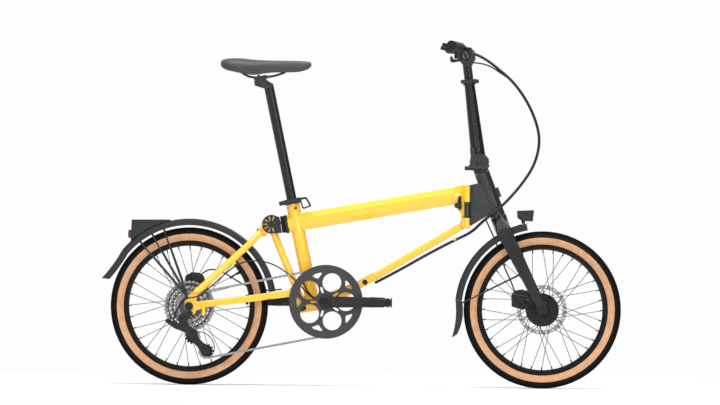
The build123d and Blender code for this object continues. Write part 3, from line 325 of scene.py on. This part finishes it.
tread_rubber = surface("tread_rubber", (0.006, 0.006, 0.0065), 0.8, patch=30, grain=700, bump=0.35,
                       specular=0.15)
tan_wall, nodes, links = blank_finish("tan_sidewall")
shader = nodes["Principled BSDF"]
place = nodes.new("ShaderNodeTexCoord")
threads = nodes.new("ShaderNodeTexNoise")
threads.inputs["Scale"].default_value = 60
threads.inputs["Detail"].default_value = 6
links.new(place.outputs["Object"], threads.inputs["Vector"])
tan = nodes.new("ShaderNodeValToRGB")
tan.color_ramp.elements[0].position = 0.3
tan.color_ramp.elements[0].color = (0.55, 0.29, 0.145, 1)
tan.color_ramp.elements[1].position = 0.7
tan.color_ramp.elements[1].color = (0.68, 0.37, 0.195, 1)
links.new(threads.outputs["Fac"], tan.inputs["Fac"])
links.new(tan.outputs["Color"], shader.inputs["Base Color"])
shader.inputs["Roughness"].default_value = 0.62
casing = nodes.new("ShaderNodeTexWave")
casing.inputs["Scale"].default_value = 320
casing.inputs["Distortion"].default_value = 1.5
casing.bands_direction = "DIAGONAL"
links.new(place.outputs["Object"], casing.inputs["Vector"])
relief = nodes.new("ShaderNodeBump")
relief.inputs["Strength"].default_value = 0.2
relief.inputs["Distance"].default_value = 0.0003
links.new(casing.outputs["Fac"], relief.inputs["Height"])
links.new(relief.outputs["Normal"], shader.inputs["Normal"])

tyre_half = [(206, 11.5), (209, 14.5), (211, 16.2), (215, 19.4), (221, 22.6), (227, 24.4), (232.5, 24.6),
             (236, 23.6), (240, 21.4), (244, 17.6), (247, 13), (249, 7), (249.6, 0)]
tyre_profile = tyre_half + [(r, -y) for r, y in reversed(tyre_half[:-1])]
tread_rows = ((251.2, 2.9, 3.4, 4.2, 0.0), (251.2, -2.9, 3.4, 4.2, 0.5), (249.9, 8.8, 3.6, 4.6, 0.5),
              (249.9, -8.8, 3.6, 4.6, 0.0), (247.0, 14.8, 3.8, 4.4, 0.0), (247.0, -14.8, 3.8, 4.4, 0.5),
              (243.2, 19.4, 3.2, 3.0, 0.5), (243.2, -19.4, 3.2, 3.0, 0.0))
tread_count = 200
for end, centre_x, body in (("rear", 0.0, "rear_wheel"), ("front", front_x, "front_wheel")):
    bm = turned_bmesh(tyre_profile, 128, (centre_x, axle_z))
    for face in bm.faces:
        r = wheel_radius(face.calc_center_median(), centre_x)
        face.material_index = 1 if 210.5 < r < 232.6 else 0
    sector = []
    for r, y, high, wide, phase in tread_rows:
        a = phase * 2 * math.pi / tread_count
        centre = spot(centre_x + r * math.cos(a), y, axle_z + r * math.sin(a))
        sector += add_block(bm, centre, (high, wide, 4.9), -a)
    sector_faces = {f for v in sector for f in v.link_faces}
    sector_edges = {e for v in sector for e in v.link_edges}
    parts = sector + list(sector_faces | sector_edges)
    bmesh.ops.spin(bm, geom=parts, cent=spot(centre_x, 0, axle_z), axis=(0, 1, 0), steps=tread_count - 1,
                   angle=2 * math.pi * (tread_count - 1) / tread_count, use_duplicate=True)
    tyre = piece_from(bm, f"{end}_tyre_tread", [tread_rubber, tan_wall], 30)
    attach(tyre, body)
    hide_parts(f"{end}_tyre")

# ---- Rims, spokes and brake discs ----
# Black alloy rims laced with stainless spokes in black nipples. Each disc is a punched stainless
# band on a black carrier, held by six screws; the rim carries a valve with its black cap.

body_of_node = {n: b for b, names in frame["record"]["behaviour"]["bodies"].items() for n in names}


def recoat(node, material):
    """Gives a carried-over CAD node its finish."""
    target = frame["nodes"][node]
    for held in target.material_slots:
        held.material = material


def cylinder(bm, start, end, r0, r1=None, sides=24):
    """Round bar or cone between two points, radii in millimetres, into a mesh."""
    along = end - start
    made = bmesh.ops.create_cone(bm, cap_ends=True, segments=sides, radius1=r0 / 1000,
                                 radius2=(r0 if r1 is None else r1) / 1000, depth=along.length)["verts"]
    turn = along.to_track_quat("Z", "Y").to_matrix()
    bmesh.ops.rotate(bm, cent=(0, 0, 0), matrix=turn, verts=made)
    bmesh.ops.translate(bm, vec=(start + end) / 2, verts=made)
    return made


def screw(bm, seat, out, radius, height):
    """Round socket screw head standing on seat and facing along out, sizes in millimetres."""
    way = Vector(out).normalized()
    made = cylinder(bm, seat, seat + way * (height / 1000), radius, radius * 0.94, 24)
    faces = {f for v in made for f in v.link_faces}
    top = max(faces, key=lambda f: f.calc_center_median().dot(way))
    bmesh.ops.inset_individual(bm, faces=[top], thickness=radius * 0.46 / 1000, use_even_offset=True)
    bmesh.ops.translate(bm, vec=-way * (height * 0.55 / 1000), verts=top.verts)


rim_black = surface("rim_black", (0.005, 0.005, 0.0055), 0.4, grain=900, bump=0.05, specular=0.15)
spoke_steel = surface("spoke_steel", (0.07, 0.07, 0.072), 0.34, metal=1.0, mottle=0.05, bump=0.03)
disc_steel, nodes, links = blank_finish("disc_steel")
shader = nodes["Principled BSDF"]
shader.inputs["Metallic"].default_value = 1.0
place = nodes.new("ShaderNodeTexCoord")
grind = nodes.new("ShaderNodeTexNoise")
grind.inputs["Scale"].default_value = 500
grind.inputs["Detail"].default_value = 4
links.new(place.outputs["Object"], grind.inputs["Vector"])
steel = nodes.new("ShaderNodeValToRGB")
steel.color_ramp.elements[0].color = (0.34, 0.34, 0.35, 1)
steel.color_ramp.elements[1].color = (0.52, 0.52, 0.53, 1)
links.new(grind.outputs["Fac"], steel.inputs["Fac"])
links.new(steel.outputs["Color"], shader.inputs["Base Color"])
shader.inputs["Roughness"].default_value = 0.3
relief = nodes.new("ShaderNodeBump")
relief.inputs["Strength"].default_value = 0.15
relief.inputs["Distance"].default_value = 0.0002
links.new(grind.outputs["Fac"], relief.inputs["Height"])
links.new(relief.outputs["Normal"], shader.inputs["Normal"])

bolt_black = surface("bolt_black", (0.008, 0.008, 0.009), 0.3, grain=900, bump=0.05, specular=0.4)
disc_thick = 1.8
nipple_in, nipple_out, nipple_side = 184, 196, 2.5
wheels = (("rear", 0.0, "rear_wheel", 32, 50.0, 20.0, 35),
          ("front", front_x, "front_wheel", 36, 42.0, 22.0, 118))
for end, centre_x, body, count, disc_y, screw_ring, valve_turn in wheels:
    recoat(f"{end}_rim", rim_black)
    recoat(f"{end}_spokes", spoke_steel)
    recoat(f"{end}_rotor", disc_steel)
    bm = bmesh.new()
    for i in range(count):
        a = 2 * math.pi * i / count
        side = nipple_side if i % 2 else -nipple_side
        outer = spot(centre_x + nipple_out * math.cos(a), side, axle_z + nipple_out * math.sin(a))
        inner = spot(centre_x + nipple_in * math.cos(a), side, axle_z + nipple_in * math.sin(a))
        cylinder(bm, inner, outer, 1.7, 2.2, 8)
    a = math.radians(valve_turn)
    foot, stem, tip = [spot(centre_x + r * math.cos(a), 0, axle_z + r * math.sin(a)) for r in (195, 168, 158)]
    cylinder(bm, foot, stem, 2.9, 2.9, 16)
    cylinder(bm, stem, tip, 3.8, 3.0, 16)
    for i in range(6):
        a = 2 * math.pi * (i + 0.5) / 6
        seat = spot(centre_x + screw_ring * math.cos(a), disc_y + disc_thick,
                    axle_z + screw_ring * math.sin(a))
        screw(bm, seat, (0, 1, 0), 3.6, 2.2)
    fittings = piece_from(bm, f"{end}_wheel_fittings", [bolt_black])
    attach(fittings, body)

# ---- Hubs ----
# A black cast hub motor in front, its two covers held by rings of screws, and a turned black hub
# behind with the freewheel body on its drive side.

hub_black = surface("hub_black", (0.006, 0.006, 0.0065), 0.38, grain=1600, bump=0.12, specular=0.25)
recoat("hub_motor", hub_black)
recoat("rear_hub", hub_black)
cover_y, cover_ring, cover_screws = 31.2, 38, 8
bm = bmesh.new()
for side in (-1, 1):
    for i in range(cover_screws):
        a = 2 * math.pi * i / cover_screws
        seat = spot(front_x + cover_ring * math.cos(a), side * cover_y, axle_z + cover_ring * math.sin(a))
        screw(bm, seat, (0, side, 0), 2.6, 1.8)
motor_screws = piece_from(bm, "motor_screws", [bolt_black])
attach(motor_screws, "front_wheel")

# ---- Main frame ----
# Welded aluminium under gloss yellow paint with a clear coat: an octagonal main tube that ends in
# the cast hinge lug, a round seat tube, the lug round the crank bearing and the down tube.


def softened(node, material, width=0.8):
    """Merged copy that stands for a CAD node, its edges rounded by that width in millimetres.

    A width of 0 keeps the edges and evens the shading, which suits the round tubes.
    """
    bm = bmesh.new()
    bm.from_mesh(frame["nodes"][node].data)
    bmesh.ops.remove_doubles(bm, verts=bm.verts, dist=1e-6)
    if width:
        bmesh.ops.dissolve_limit(bm, angle_limit=math.radians(0.2), verts=bm.verts, edges=bm.edges)
    copy = piece_from(bm, f"{node}_shell", [material])
    if width:
        edges = copy.modifiers.new("edges", "BEVEL")
        edges.width = width / 1000
        edges.segments = 2
        edges.limit_method = "ANGLE"
        edges.angle_limit = math.radians(40)
        edges.harden_normals = True
    else:
        even = copy.modifiers.new("even", "WEIGHTED_NORMAL")
        even.keep_sharp = True
    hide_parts(node)
    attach(copy, body_of_node[node])
    return copy


yellow = surface("yellow_gloss", (0.98, 0.56, 0.022), 0.24, coat=1.0, mottle=0.03, patch=9, grain=420,
                 bump=0.02)
satin_black = surface("satin_black", (0.007, 0.007, 0.0078), 0.27, patch=25, grain=1500, bump=0.06,
                      specular=0.4)
rubber_black = surface("rubber_black", (0.008, 0.008, 0.009), 0.7, grain=1200, bump=0.3, specular=0.25)
for node, width in (("main_tube", 0), ("seat_tube", 0), ("bottom_bracket_lug", 1.0), ("down_tube", 0)):
    softened(node, yellow, width)
softened("frame_pins", satin_black, 0.8)
softened("rear_end_cap", satin_black, 1.0)


def side_plate(bm, outline, y0, y1):
    """Closed plate from an outline of (x, z) points, as thick as from y0 to y1, in millimetres."""
    face = bm.faces.new([bm.verts.new(spot(x, y0, z)) for x, z in outline])
    grown = bmesh.ops.extrude_face_region(bm, geom=[face])["geom"]
    top = [g for g in grown if isinstance(g, bmesh.types.BMVert)]
    bmesh.ops.translate(bm, vec=(0, (y1 - y0) / 1000, 0), verts=top)


bm = bmesh.new()
side_plate(bm, [(296.2, 492), (310.4, 492), (300.8, 545.5), (288, 545.5)], -18, 18)
bmesh.ops.recalc_face_normals(bm, faces=bm.faces)
bmesh.ops.bevel(bm, geom=bm.edges[:], offset=0.003, segments=3, profile=0.5, affect="EDGES", material=-1)
pad = piece_from(bm, "suspension_pad_block", [rubber_black])
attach(pad, "frame")
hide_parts("suspension_pad")
softened("seat_clamp", satin_black, 0.8)
softened("seat_clamp_lever", satin_black, 0.8)
softened("hinge_latch", satin_black, 1.0)

# ---- Frame cables, clips and bolts ----
# Two black cables come out of the pivot lug and cross in front of it, small yellow clips hold the
# casings, and a black bolt closes the seat tube under its collar.

lug_routes = {"low": [(352, -33, 330), (364, -34, 314), (378, -34, 299), (398, -33, 283), (418, -31, 268)],
              "high": [(366, -31, 333), (374, -33, 313), (386, -34, 297), (400, -33, 284), (424, -31, 274)]}
for name, route in lug_routes.items():
    piece = piece_from(cable_bmesh(route, hose_radius, 3), f"lug_cable_{name}", [cable_black])
    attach(piece, "frame")
clip_half, clip_radius = 9, 5.2
bm = bmesh.new()
for x, z in ((564, 342), (600, 360), (850, 478)):
    cylinder(bm, spot(x, -clip_half, z), spot(x, clip_half, z), clip_radius, clip_radius, 16)
clips = piece_from(bm, "down_tube_clips", [yellow])
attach(clips, "frame")
bm = bmesh.new()
screw(bm, spot(338, -20.5, 572), (0.15, -1, 0), 4.5, 3.0)
screw(bm, spot(564, -17.8, 336), (0, -1, 0), 5.5, 2.4)
screw(bm, spot(586, -11.5, 350), (0, -1, 0), 2.6, 1.6)
screw(bm, spot(887, -21.4, 528), (0, -1, 0), 5.0, 2.6)
screw(bm, spot(365.5, -48.9, 252), (0, -1, 0), 6.5, 2.4)
screw(bm, spot(365.5, 48.9, 252), (0, 1, 0), 6.5, 2.4)
frame_screws = piece_from(bm, "frame_screws", [bolt_black])
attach(frame_screws, "frame")

# ---- Rear triangle ----
# The same yellow tubes: two chain stays with dropouts, two struts and two seat stays that meet
# behind the elastomer spring, whose black end discs are slotted and let the yellow show through.

for node in ("chain_stays", "rear_struts", "seat_stays"):
    softened(node, yellow, 0)
softened("suspension_hub", satin_black, 0.6)
softened("rear_axle", satin_black, 0.8)
spring_at = (261.0, 519.0)
ring_in, ring_out, ring_y, ring_back_y = 11, 27, 33.2, 32.5


def add_turned(bm, profile, centre):
    """Puts a shape turned about a centre (x, z) into a mesh."""
    turned = turned_bmesh(profile, 48, centre)
    held = bpy.data.meshes.new("turned")
    turned.to_mesh(held)
    turned.free()
    bm.from_mesh(held)


bm = bmesh.new()
for side in (-1, 1):
    add_turned(bm, [(ring_in, side * ring_back_y), (ring_out, side * ring_back_y), (ring_out, side * ring_y),
                    (ring_in, side * ring_y)], spring_at)
side_plate(bm, [(136, 391), (146, 399), (151, 393), (141, 385)], -60, -50)
bmesh.ops.recalc_face_normals(bm, faces=bm.faces)
slot_yellow = piece_from(bm, "spring_inner_rings", [yellow])
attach(slot_yellow, "rear_triangle")

bracket_outline = [(-5, 6), (5, 6.6), (5, -6), (1, -9), (-5, -6)]
bm = bmesh.new()
for x, z in ((186, 268), (257.5, 271)):
    side_plate(bm, [(x + dx, z + dz) for dx, dz in bracket_outline], -52, -40)
bmesh.ops.recalc_face_normals(bm, faces=bm.faces)
stay_brackets = piece_from(bm, "chain_stay_brackets", [rubber_black])
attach(stay_brackets, "rear_triangle")

# ---- Crankset and pedals ----
# Forged arms on a hollow spindle, a dark grey ring cast in one with its guard, and nylon platform
# pedals. The arms are satin, so a soft streak of light runs down each.

ring_grey = surface("ring_grey", (0.05, 0.05, 0.052), 0.42, metal=0.5, mottle=0.1, patch=40, grain=1800,
                    bump=0.1)
nylon_black = surface("nylon_black", (0.009, 0.009, 0.0095), 0.5, grain=900, bump=0.3, specular=0.3)
softened("chainring", ring_grey, 0.5)
softened("crank_arms", satin_black, 2.2)
crank_x, crank_z, crank_length = 438.9, 272.1, 175
boot_y = 78
boot_outline = [(-33, 16), (-29, 16.7), (13, 15.7), (17, 11), (17, -11), (13, -15.7), (-29, -16.7),
                (-33, -16)]
bm = bmesh.new()
for side in (-1, 1):
    out = -side
    end_x = crank_x + out * crank_length
    way = (0, side, 0)
    add_turned(bm, [(0.01, side * 74), (17, side * 76.2), (15.5, side * 78.4), (9, side * 78.8),
                    (8.4, side * 75.5), (0.01, side * 75.4)], (crank_x, crank_z))
    screw(bm, spot(crank_x, side * 75.4, crank_z), way, 6.5, 2.0)
    screw(bm, spot(end_x, side * boot_y, crank_z), way, 9.5, 1.0)
    side_plate(bm, [(end_x + out * x, crank_z + z) for x, z in boot_outline], side * 60.5, side * boot_y)
    screw(bm, spot(end_x - 22 * out, side * boot_y, crank_z), way, 2.2, 0.8)
bmesh.ops.recalc_face_normals(bm, faces=bm.faces)
crank_caps = piece_from(bm, "crank_caps", [nylon_black])
edges = crank_caps.modifiers.new("edges", "BEVEL")
edges.width = 0.0008
edges.segments = 2
edges.angle_limit = math.radians(50)
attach(crank_caps, "crankset")

plate_outline = [(-37, 14), (-32.5, 8.5), (-28, 13), (-21, 13.5), (-16, 11.5), (16, 11.5), (21, 13.5),
                 (28, 13), (32.5, 8.5), (37, 14), (37, -14), (32.5, -8.5), (28, -13), (21, -13.5),
                 (16, -11.5), (-16, -11.5), (-21, -13.5), (-28, -13), (-32.5, -8.5), (-37, -14)]
barrel_outline = [(-11, 12), (11, 12), (11, -12), (-11, -12)]
rail_outline = [(33, 3), (37, 3), (37, -3), (33, -3)]
web_outline = [(10, 4), (36, 4), (36, -4), (10, -4)]
rail_z, pin_z, pin_height = 10.5, 9, 6.2
for name, side in (("pedal_right", -1), ("pedal_left", 1)):
    axis_x = crank_x - side * crank_length
    bm = bmesh.new()
    for y0, y1 in ((90, 96), (178, 184)):
        side_plate(bm, [(axis_x + x, crank_z + z) for x, z in plate_outline], side * y0, side * y1)
    side_plate(bm, [(axis_x + x, crank_z + z) for x, z in barrel_outline], side * 96, side * 178)
    for edge in (-1, 1):
        for z in (-rail_z, rail_z):
            rail = [(axis_x + edge * x, crank_z + z + dz) for x, dz in rail_outline]
            side_plate(bm, rail, side * 95, side * 179)
        side_plate(bm, [(axis_x + edge * x, crank_z + dz) for x, dz in web_outline], side * 131, side * 143)
    bmesh.ops.recalc_face_normals(bm, faces=bm.faces)
    for y in (93, 112, 162, 181):
        for x in (-34, -24, 24, 34):
            if y in (112, 162) and abs(x) == 24:
                continue
            for way in (-1, 1):
                foot = spot(axis_x + x, side * y, crank_z + way * pin_z)
                cylinder(bm, foot, foot + Vector((0, 0, way * pin_height / 1000)), 1.6, 1.5, 8)
    pedal = piece_from(bm, f"{name}_cage", [nylon_black])
    edges = pedal.modifiers.new("edges", "BEVEL")
    edges.width = 0.0007
    edges.segments = 2
    edges.angle_limit = math.radians(50)
    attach(pedal, name)
    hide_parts(name)

# ---- Chain ----
# Bushing chain of half-inch pitch: waisted outer and inner plates in turn, on pins and rollers,
# closed round the ring, the sprocket and the two jockey wheels.

chain_pitch = 12.7
chain_y = -49.4
guide_at, tension_at = (12.0, 155.0), (57.0, 110.0)


def sprocket_radius(teeth):
    """Pitch radius in millimetres of a sprocket for this chain."""
    return chain_pitch / 2 / math.sin(math.pi / teeth)


def chain_spots():
    """Pin places in millimetres, evenly spaced along the closed line round the four wheels."""
    wraps = (((crank_x, crank_z), sprocket_radius(53), 1), ((0, axle_z), sprocket_radius(18), 1),
             (guide_at, sprocket_radius(11), -1), (tension_at, sprocket_radius(11), 1))
    runs = []
    for (a, ra, wa), (b, rb, wb) in zip(wraps, wraps[1:] + wraps[:1]):
        dx, dz = b[0] - a[0], b[1] - a[1]
        angle = math.atan2(dz, dx) - math.acos((ra * wa - rb * wb) / math.hypot(dx, dz))
        runs.append(((a[0] + wa * ra * math.cos(angle), a[1] + wa * ra * math.sin(angle)),
                     (b[0] + wb * rb * math.cos(angle), b[1] + wb * rb * math.sin(angle))))
    line = []
    for i, (at, r, way) in enumerate(wraps):
        came, leaves = runs[i - 1][1], runs[i][0]
        a0 = math.atan2(came[1] - at[1], came[0] - at[0])
        a1 = math.atan2(leaves[1] - at[1], leaves[0] - at[0])
        arc = (a1 - a0) % (2 * math.pi) if way > 0 else -((a0 - a1) % (2 * math.pi))
        steps = max(4, int(abs(arc) * r / 2))
        line += [(at[0] + r * math.cos(a0 + arc * k / steps), at[1] + r * math.sin(a0 + arc * k / steps))
                 for k in range(steps + 1)]
        far = runs[i][1]
        steps = int(math.dist(leaves, far) / 4)
        line += [(leaves[0] + (far[0] - leaves[0]) * k / steps, leaves[1] + (far[1] - leaves[1]) * k / steps)
                 for k in range(1, steps)]
    gaps = [math.dist(p, q) for p, q in zip(line, line[1:] + line[:1])]
    links_in_chain = 2 * round(sum(gaps) / chain_pitch / 2)
    step = sum(gaps) / links_in_chain
    pins, walked, target = [], 0.0, 0.0
    for p, q, gap in zip(line, line[1:] + line[:1], gaps):
        while len(pins) < links_in_chain and target <= walked + gap:
            t = (target - walked) / gap
            pins.append((p[0] + (q[0] - p[0]) * t, p[1] + (q[1] - p[1]) * t))
            target += step
        walked += gap
    return pins


def chain_plate(bm, a, b, y0, y1):
    """Waisted plate between two pins."""
    mid = ((a[0] + b[0]) / 2, (a[1] + b[1]) / 2)
    turn = math.atan2(b[1] - a[1], b[0] - a[0])
    outline = []
    for end, first in ((b, -70), (a, 110)):
        for k in range(5):
            angle = turn + math.radians(first + 35 * k)
            outline.append((end[0] + 4.2 * math.cos(angle), end[1] + 4.2 * math.sin(angle)))
        side = turn + math.radians(90 if end is b else -90)
        outline.append((mid[0] + 3.1 * math.cos(side), mid[1] + 3.1 * math.sin(side)))
    side_plate(bm, outline, y0, y1)


chain_steel = surface("chain_steel", (0.30, 0.30, 0.30), 0.36, metal=1.0, mottle=0.2, patch=120, grain=2500,
                      bump=0.1)
bm = bmesh.new()
pins = chain_spots()
for i, (a, b) in enumerate(zip(pins, pins[1:] + pins[:1])):
    near, far = (1.8, 2.5) if i % 2 else (1.0, 1.7)
    for side in (-1, 1):
        chain_plate(bm, a, b, chain_y + side * near, chain_y + side * far)
    cylinder(bm, spot(a[0], chain_y - 2.6, a[1]), spot(a[0], chain_y + 2.6, a[1]), 1.7, 1.7, 8)
    cylinder(bm, spot(a[0], chain_y - 0.95, a[1]), spot(a[0], chain_y + 0.95, a[1]), 3.8, 3.8, 10)
bmesh.ops.recalc_face_normals(bm, faces=bm.faces)
chain = piece_from(bm, "chain_links", [chain_steel])
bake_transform(chain)
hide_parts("chain")

# ---- Rear gears ----
# Steel sprockets from 11 to 40 teeth, and a long-cage derailleur in black alloy with nylon
# jockey wheels that hangs from the drive-side dropout.

gear_steel = surface("gear_steel", (0.30, 0.30, 0.30), 0.33, metal=1.0, mottle=0.2, patch=60, grain=2500,
                     bump=0.1)
dark_steel = surface("dark_steel", (0.10, 0.10, 0.10), 0.35, metal=1.0, mottle=0.2, patch=60, bump=0.1)


def toothed_ring(bm, centre, teeth, inner, y, thick, material=0):
    """Flat sprocket with pointed teeth round a hole, lying across a wheel axis."""
    root, tip = sprocket_radius(teeth) - 3.2, sprocket_radius(teeth) + 2.0
    outer = bmesh.ops.create_circle(bm, segments=2 * teeth, radius=root / 1000)["verts"]
    hole = bmesh.ops.create_circle(bm, segments=2 * teeth, radius=inner / 1000)["verts"]
    for v in outer[::2]:
        v.co *= tip / root
    edges = list({e for v in outer + hole for e in v.link_edges})
    flat = bmesh.ops.bridge_loops(bm, edges=edges)["faces"]
    grown = bmesh.ops.extrude_face_region(bm, geom=flat)["geom"]
    top = [g for g in grown if isinstance(g, bmesh.types.BMVert)]
    bmesh.ops.translate(bm, vec=(0, 0, thick / 1000), verts=top)
    solid = outer + hole + top
    bmesh.ops.rotate(bm, cent=(0, 0, 0), matrix=Matrix.Rotation(math.radians(90), 3, "X"), verts=solid)
    bmesh.ops.translate(bm, vec=spot(centre[0], y + thick / 2, centre[1]), verts=solid)
    for face in {f for v in solid for f in v.link_faces}:
        face.material_index = material


bm = bmesh.new()
sprockets = (40, 35, 31, 28, 24, 21, 18, 15, 13, 11)
for i, teeth in enumerate(sprockets):
    y = -27.5 - 3.65 * i
    r = sprocket_radius(teeth)
    shade = 1 if i % 2 or teeth < 20 else 0
    toothed_ring(bm, (0, axle_z), teeth, r - 7 if teeth > 13 else 15, y, 1.7, shade)
    arms = 7 if teeth > 13 else 0
    for k in range(arms):
        a = 2 * math.pi * k / arms + i * 0.35
        inner, outer = 15.0, r - 5.5
        mid = spot((inner + outer) / 2 * math.cos(a), y, axle_z + (inner + outer) / 2 * math.sin(a))
        for v in add_block(bm, mid, (outer - inner, 1.5, 4.2), -a - 0.16):
            for f in v.link_faces:
                f.material_index = shade
    for k in range(teeth if teeth > 27 else 0):
        a = 2 * math.pi * (k + 0.5) / teeth
        at = spot((r - 5.2) * math.cos(a), y, axle_z + (r - 5.2) * math.sin(a))
        for v in cylinder(bm, at - Vector((0, 0.00095, 0)), at + Vector((0, 0.00095, 0)), 1.3, 1.3, 8):
            for f in v.link_faces:
                f.material_index = 2
cylinder(bm, spot(0, -62.4, axle_z), spot(0, -26.6, axle_z), 15.5, 15.5, 40)
bmesh.ops.recalc_face_normals(bm, faces=bm.faces)
cassette = piece_from(bm, "cassette_rings", [gear_steel, dark_steel, bolt_black])
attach(cassette, "cassette")
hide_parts("cassette")
recoat("guide_pulley", nylon_black)
recoat("tension_pulley", nylon_black)
softened("derailleur_body", satin_black, 0.9)
softened("derailleur_cage", satin_black, 0.5)

guard_route = [(30, -56, 172), (52, -56, 170), (76, -56, 148), (84, -56, 122), (80, -56, 100), (66, -56, 92)]
guard = piece_from(cable_bmesh(guard_route, 1.5, 3), "cage_guard", [satin_black])
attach(guard, body_of_node["derailleur_cage"])

# ---- Brakes ----
# Hydraulic calipers in two bolted halves that straddle the discs, in satin black.

for node in ("rear_caliper", "front_caliper"):
    softened(node, satin_black, 0.9)

# ---- Seat ----
# Black seatpost and saddle rails, and a slim saddle whose textured cover is stretched over foam,
# with a shallow channel along the middle of the top.

softened("seatpost", satin_black, 0.8)
recoat("saddle_rails", satin_black)
cover, nodes, links = blank_finish("saddle_cover")
shader = nodes["Principled BSDF"]
shader.inputs["Roughness"].default_value = 0.5
shader.inputs["Sheen Weight"].default_value = 0.15
place = nodes.new("ShaderNodeTexCoord")
grain = nodes.new("ShaderNodeTexVoronoi")
grain.inputs["Scale"].default_value = 700
links.new(place.outputs["Object"], grain.inputs["Vector"])
tone = nodes.new("ShaderNodeValToRGB")
tone.color_ramp.elements[0].color = (0.020, 0.023, 0.027, 1)
tone.color_ramp.elements[1].color = (0.034, 0.038, 0.043, 1)
links.new(grain.outputs["Distance"], tone.inputs["Fac"])
links.new(tone.outputs["Color"], shader.inputs["Base Color"])
relief = nodes.new("ShaderNodeBump")
relief.inputs["Strength"].default_value = 0.35
relief.inputs["Distance"].default_value = 0.0003
links.new(grain.outputs["Distance"], relief.inputs["Height"])
links.new(relief.outputs["Normal"], shader.inputs["Normal"])

saddle_stations = ((92, 20, 1038, 1028), (93, 34, 1042, 1024), (99, 48, 1047, 1018), (112, 61, 1051, 1012),
                   (138, 71, 1053, 1007), (168, 72, 1052, 1001), (196, 61, 1048, 997),
                   (222, 44, 1046.8, 1001), (250, 31, 1046.2, 1006), (285, 24, 1046, 1007),
                   (320, 21, 1045.8, 1007),
                   (346, 19.5, 1045.2, 1009), (368, 17, 1044, 1015), (379, 14, 1042.5, 1022),
                   (383.5, 10, 1040, 1028), (384, 6, 1037, 1031))
bm = bmesh.new()
loops = []
for x, half, top, low in saddle_stations:
    channel = 2.2 if 130 < x < 340 else 0.0
    side = [(0.0, top - channel), (0.16, top - channel * 0.4), (0.4, top - 0.3), (0.68, top - 2.6),
            (0.9, top - (top - low) * 0.26), (1.0, top - (top - low) * 0.52), (0.98, low + 1.5), (0.9, low),
            (0.6, low + 3.5), (0.0, low + 4)]
    ring = [(half * t, z) for t, z in side] + [(-half * t, z) for t, z in reversed(side[1:-1])]
    loops.append([bm.verts.new(spot(x, y, z)) for y, z in ring])
for ring in loops:
    for a, b in zip(ring, ring[1:] + ring[:1]):
        bm.edges.new((a, b))
for before, after in zip(loops, loops[1:]):
    sides = [bm.edges.get((a, b)) for ring in (before, after) for a, b in zip(ring, ring[1:] + ring[:1])]
    bmesh.ops.bridge_loops(bm, edges=sides)
for ring in (loops[0], loops[-1]):
    bm.faces.new(ring)
bmesh.ops.recalc_face_normals(bm, faces=bm.faces)
saddle = piece_from(bm, "saddle_cover", [cover], 180)
smooth = saddle.modifiers.new("smooth", "SUBSURF")
smooth.levels = smooth.render_levels = 2
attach(saddle, "seatpost")
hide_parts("saddle")

# ---- Head and fork ----
# A cast head box in dark grey with recessed panels round the head tube, and a black fork with a
# lofted crown and flat blades. Two bosses in front take the bolts of a bag carrier.

head_grey = surface("head_grey", (0.018, 0.018, 0.019), 0.34, coat=0.1, patch=30, grain=1500, bump=0.1)
softened("head_frame", head_grey, 1.2)
softened("fork", satin_black, 1.5)
softened("stem_base", satin_black, 1.2)

# ---- Handlepost ----
# Tapered outer post that folds on the stem, with a slim latch behind, and a clamp collar that
# holds the sliding inner post.

softened("handlepost", satin_black, 1.2)
softened("stem_latch", satin_black, 0.9)
softened("post_clamp_lever", satin_black, 0.7)

# ---- Bar and controls ----
# Swept black bar in a cast clamp, soft grips, brake levers with their reservoirs, the shifter and
# a small bell.

softened("handlebar", satin_black, 1.0)
softened("bar_controls", satin_black, 0.8)
softened("brake_lever_left", satin_black, 0.8)
softened("brake_lever_right", satin_black, 0.8)
paddle_outline = [(866, 1055), (866, 1049), (838, 1043), (829, 1046), (828, 1062), (834, 1065), (839, 1054)]
bm = bmesh.new()
side_plate(bm, paddle_outline, -117, -103)
bmesh.ops.recalc_face_normals(bm, faces=bm.faces)
bmesh.ops.bevel(bm, geom=bm.edges[:], offset=0.0016, segments=2, profile=0.5, affect="EDGES", material=-1)
trigger = piece_from(bm, "shift_paddle", [satin_black])
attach(trigger, "shift_trigger")
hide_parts("shift_trigger")
softened("grips", rubber_black, 2.0)

# ---- Fenders and lights ----
# Moulded fenders with flared rubber flaps on wire stays, a flat-topped fairing over the rear one,
# the front lamp on its bracket and the red rear lamp.

fender_plastic = surface("fender_plastic", (0.017, 0.019, 0.0215), 0.45, patch=20, grain=1300, bump=0.15,
                         specular=0.35)
red_lens = surface("red_lens", (0.09, 0.004, 0.004), 0.15, coat=0.8, grain=700, bump=0.2)
softened("rear_fender", fender_plastic, 0.6)
softened("front_fender", fender_plastic, 0.6)
softened("headlight", satin_black, 1.0)
softened("rear_light", red_lens, 0.6)
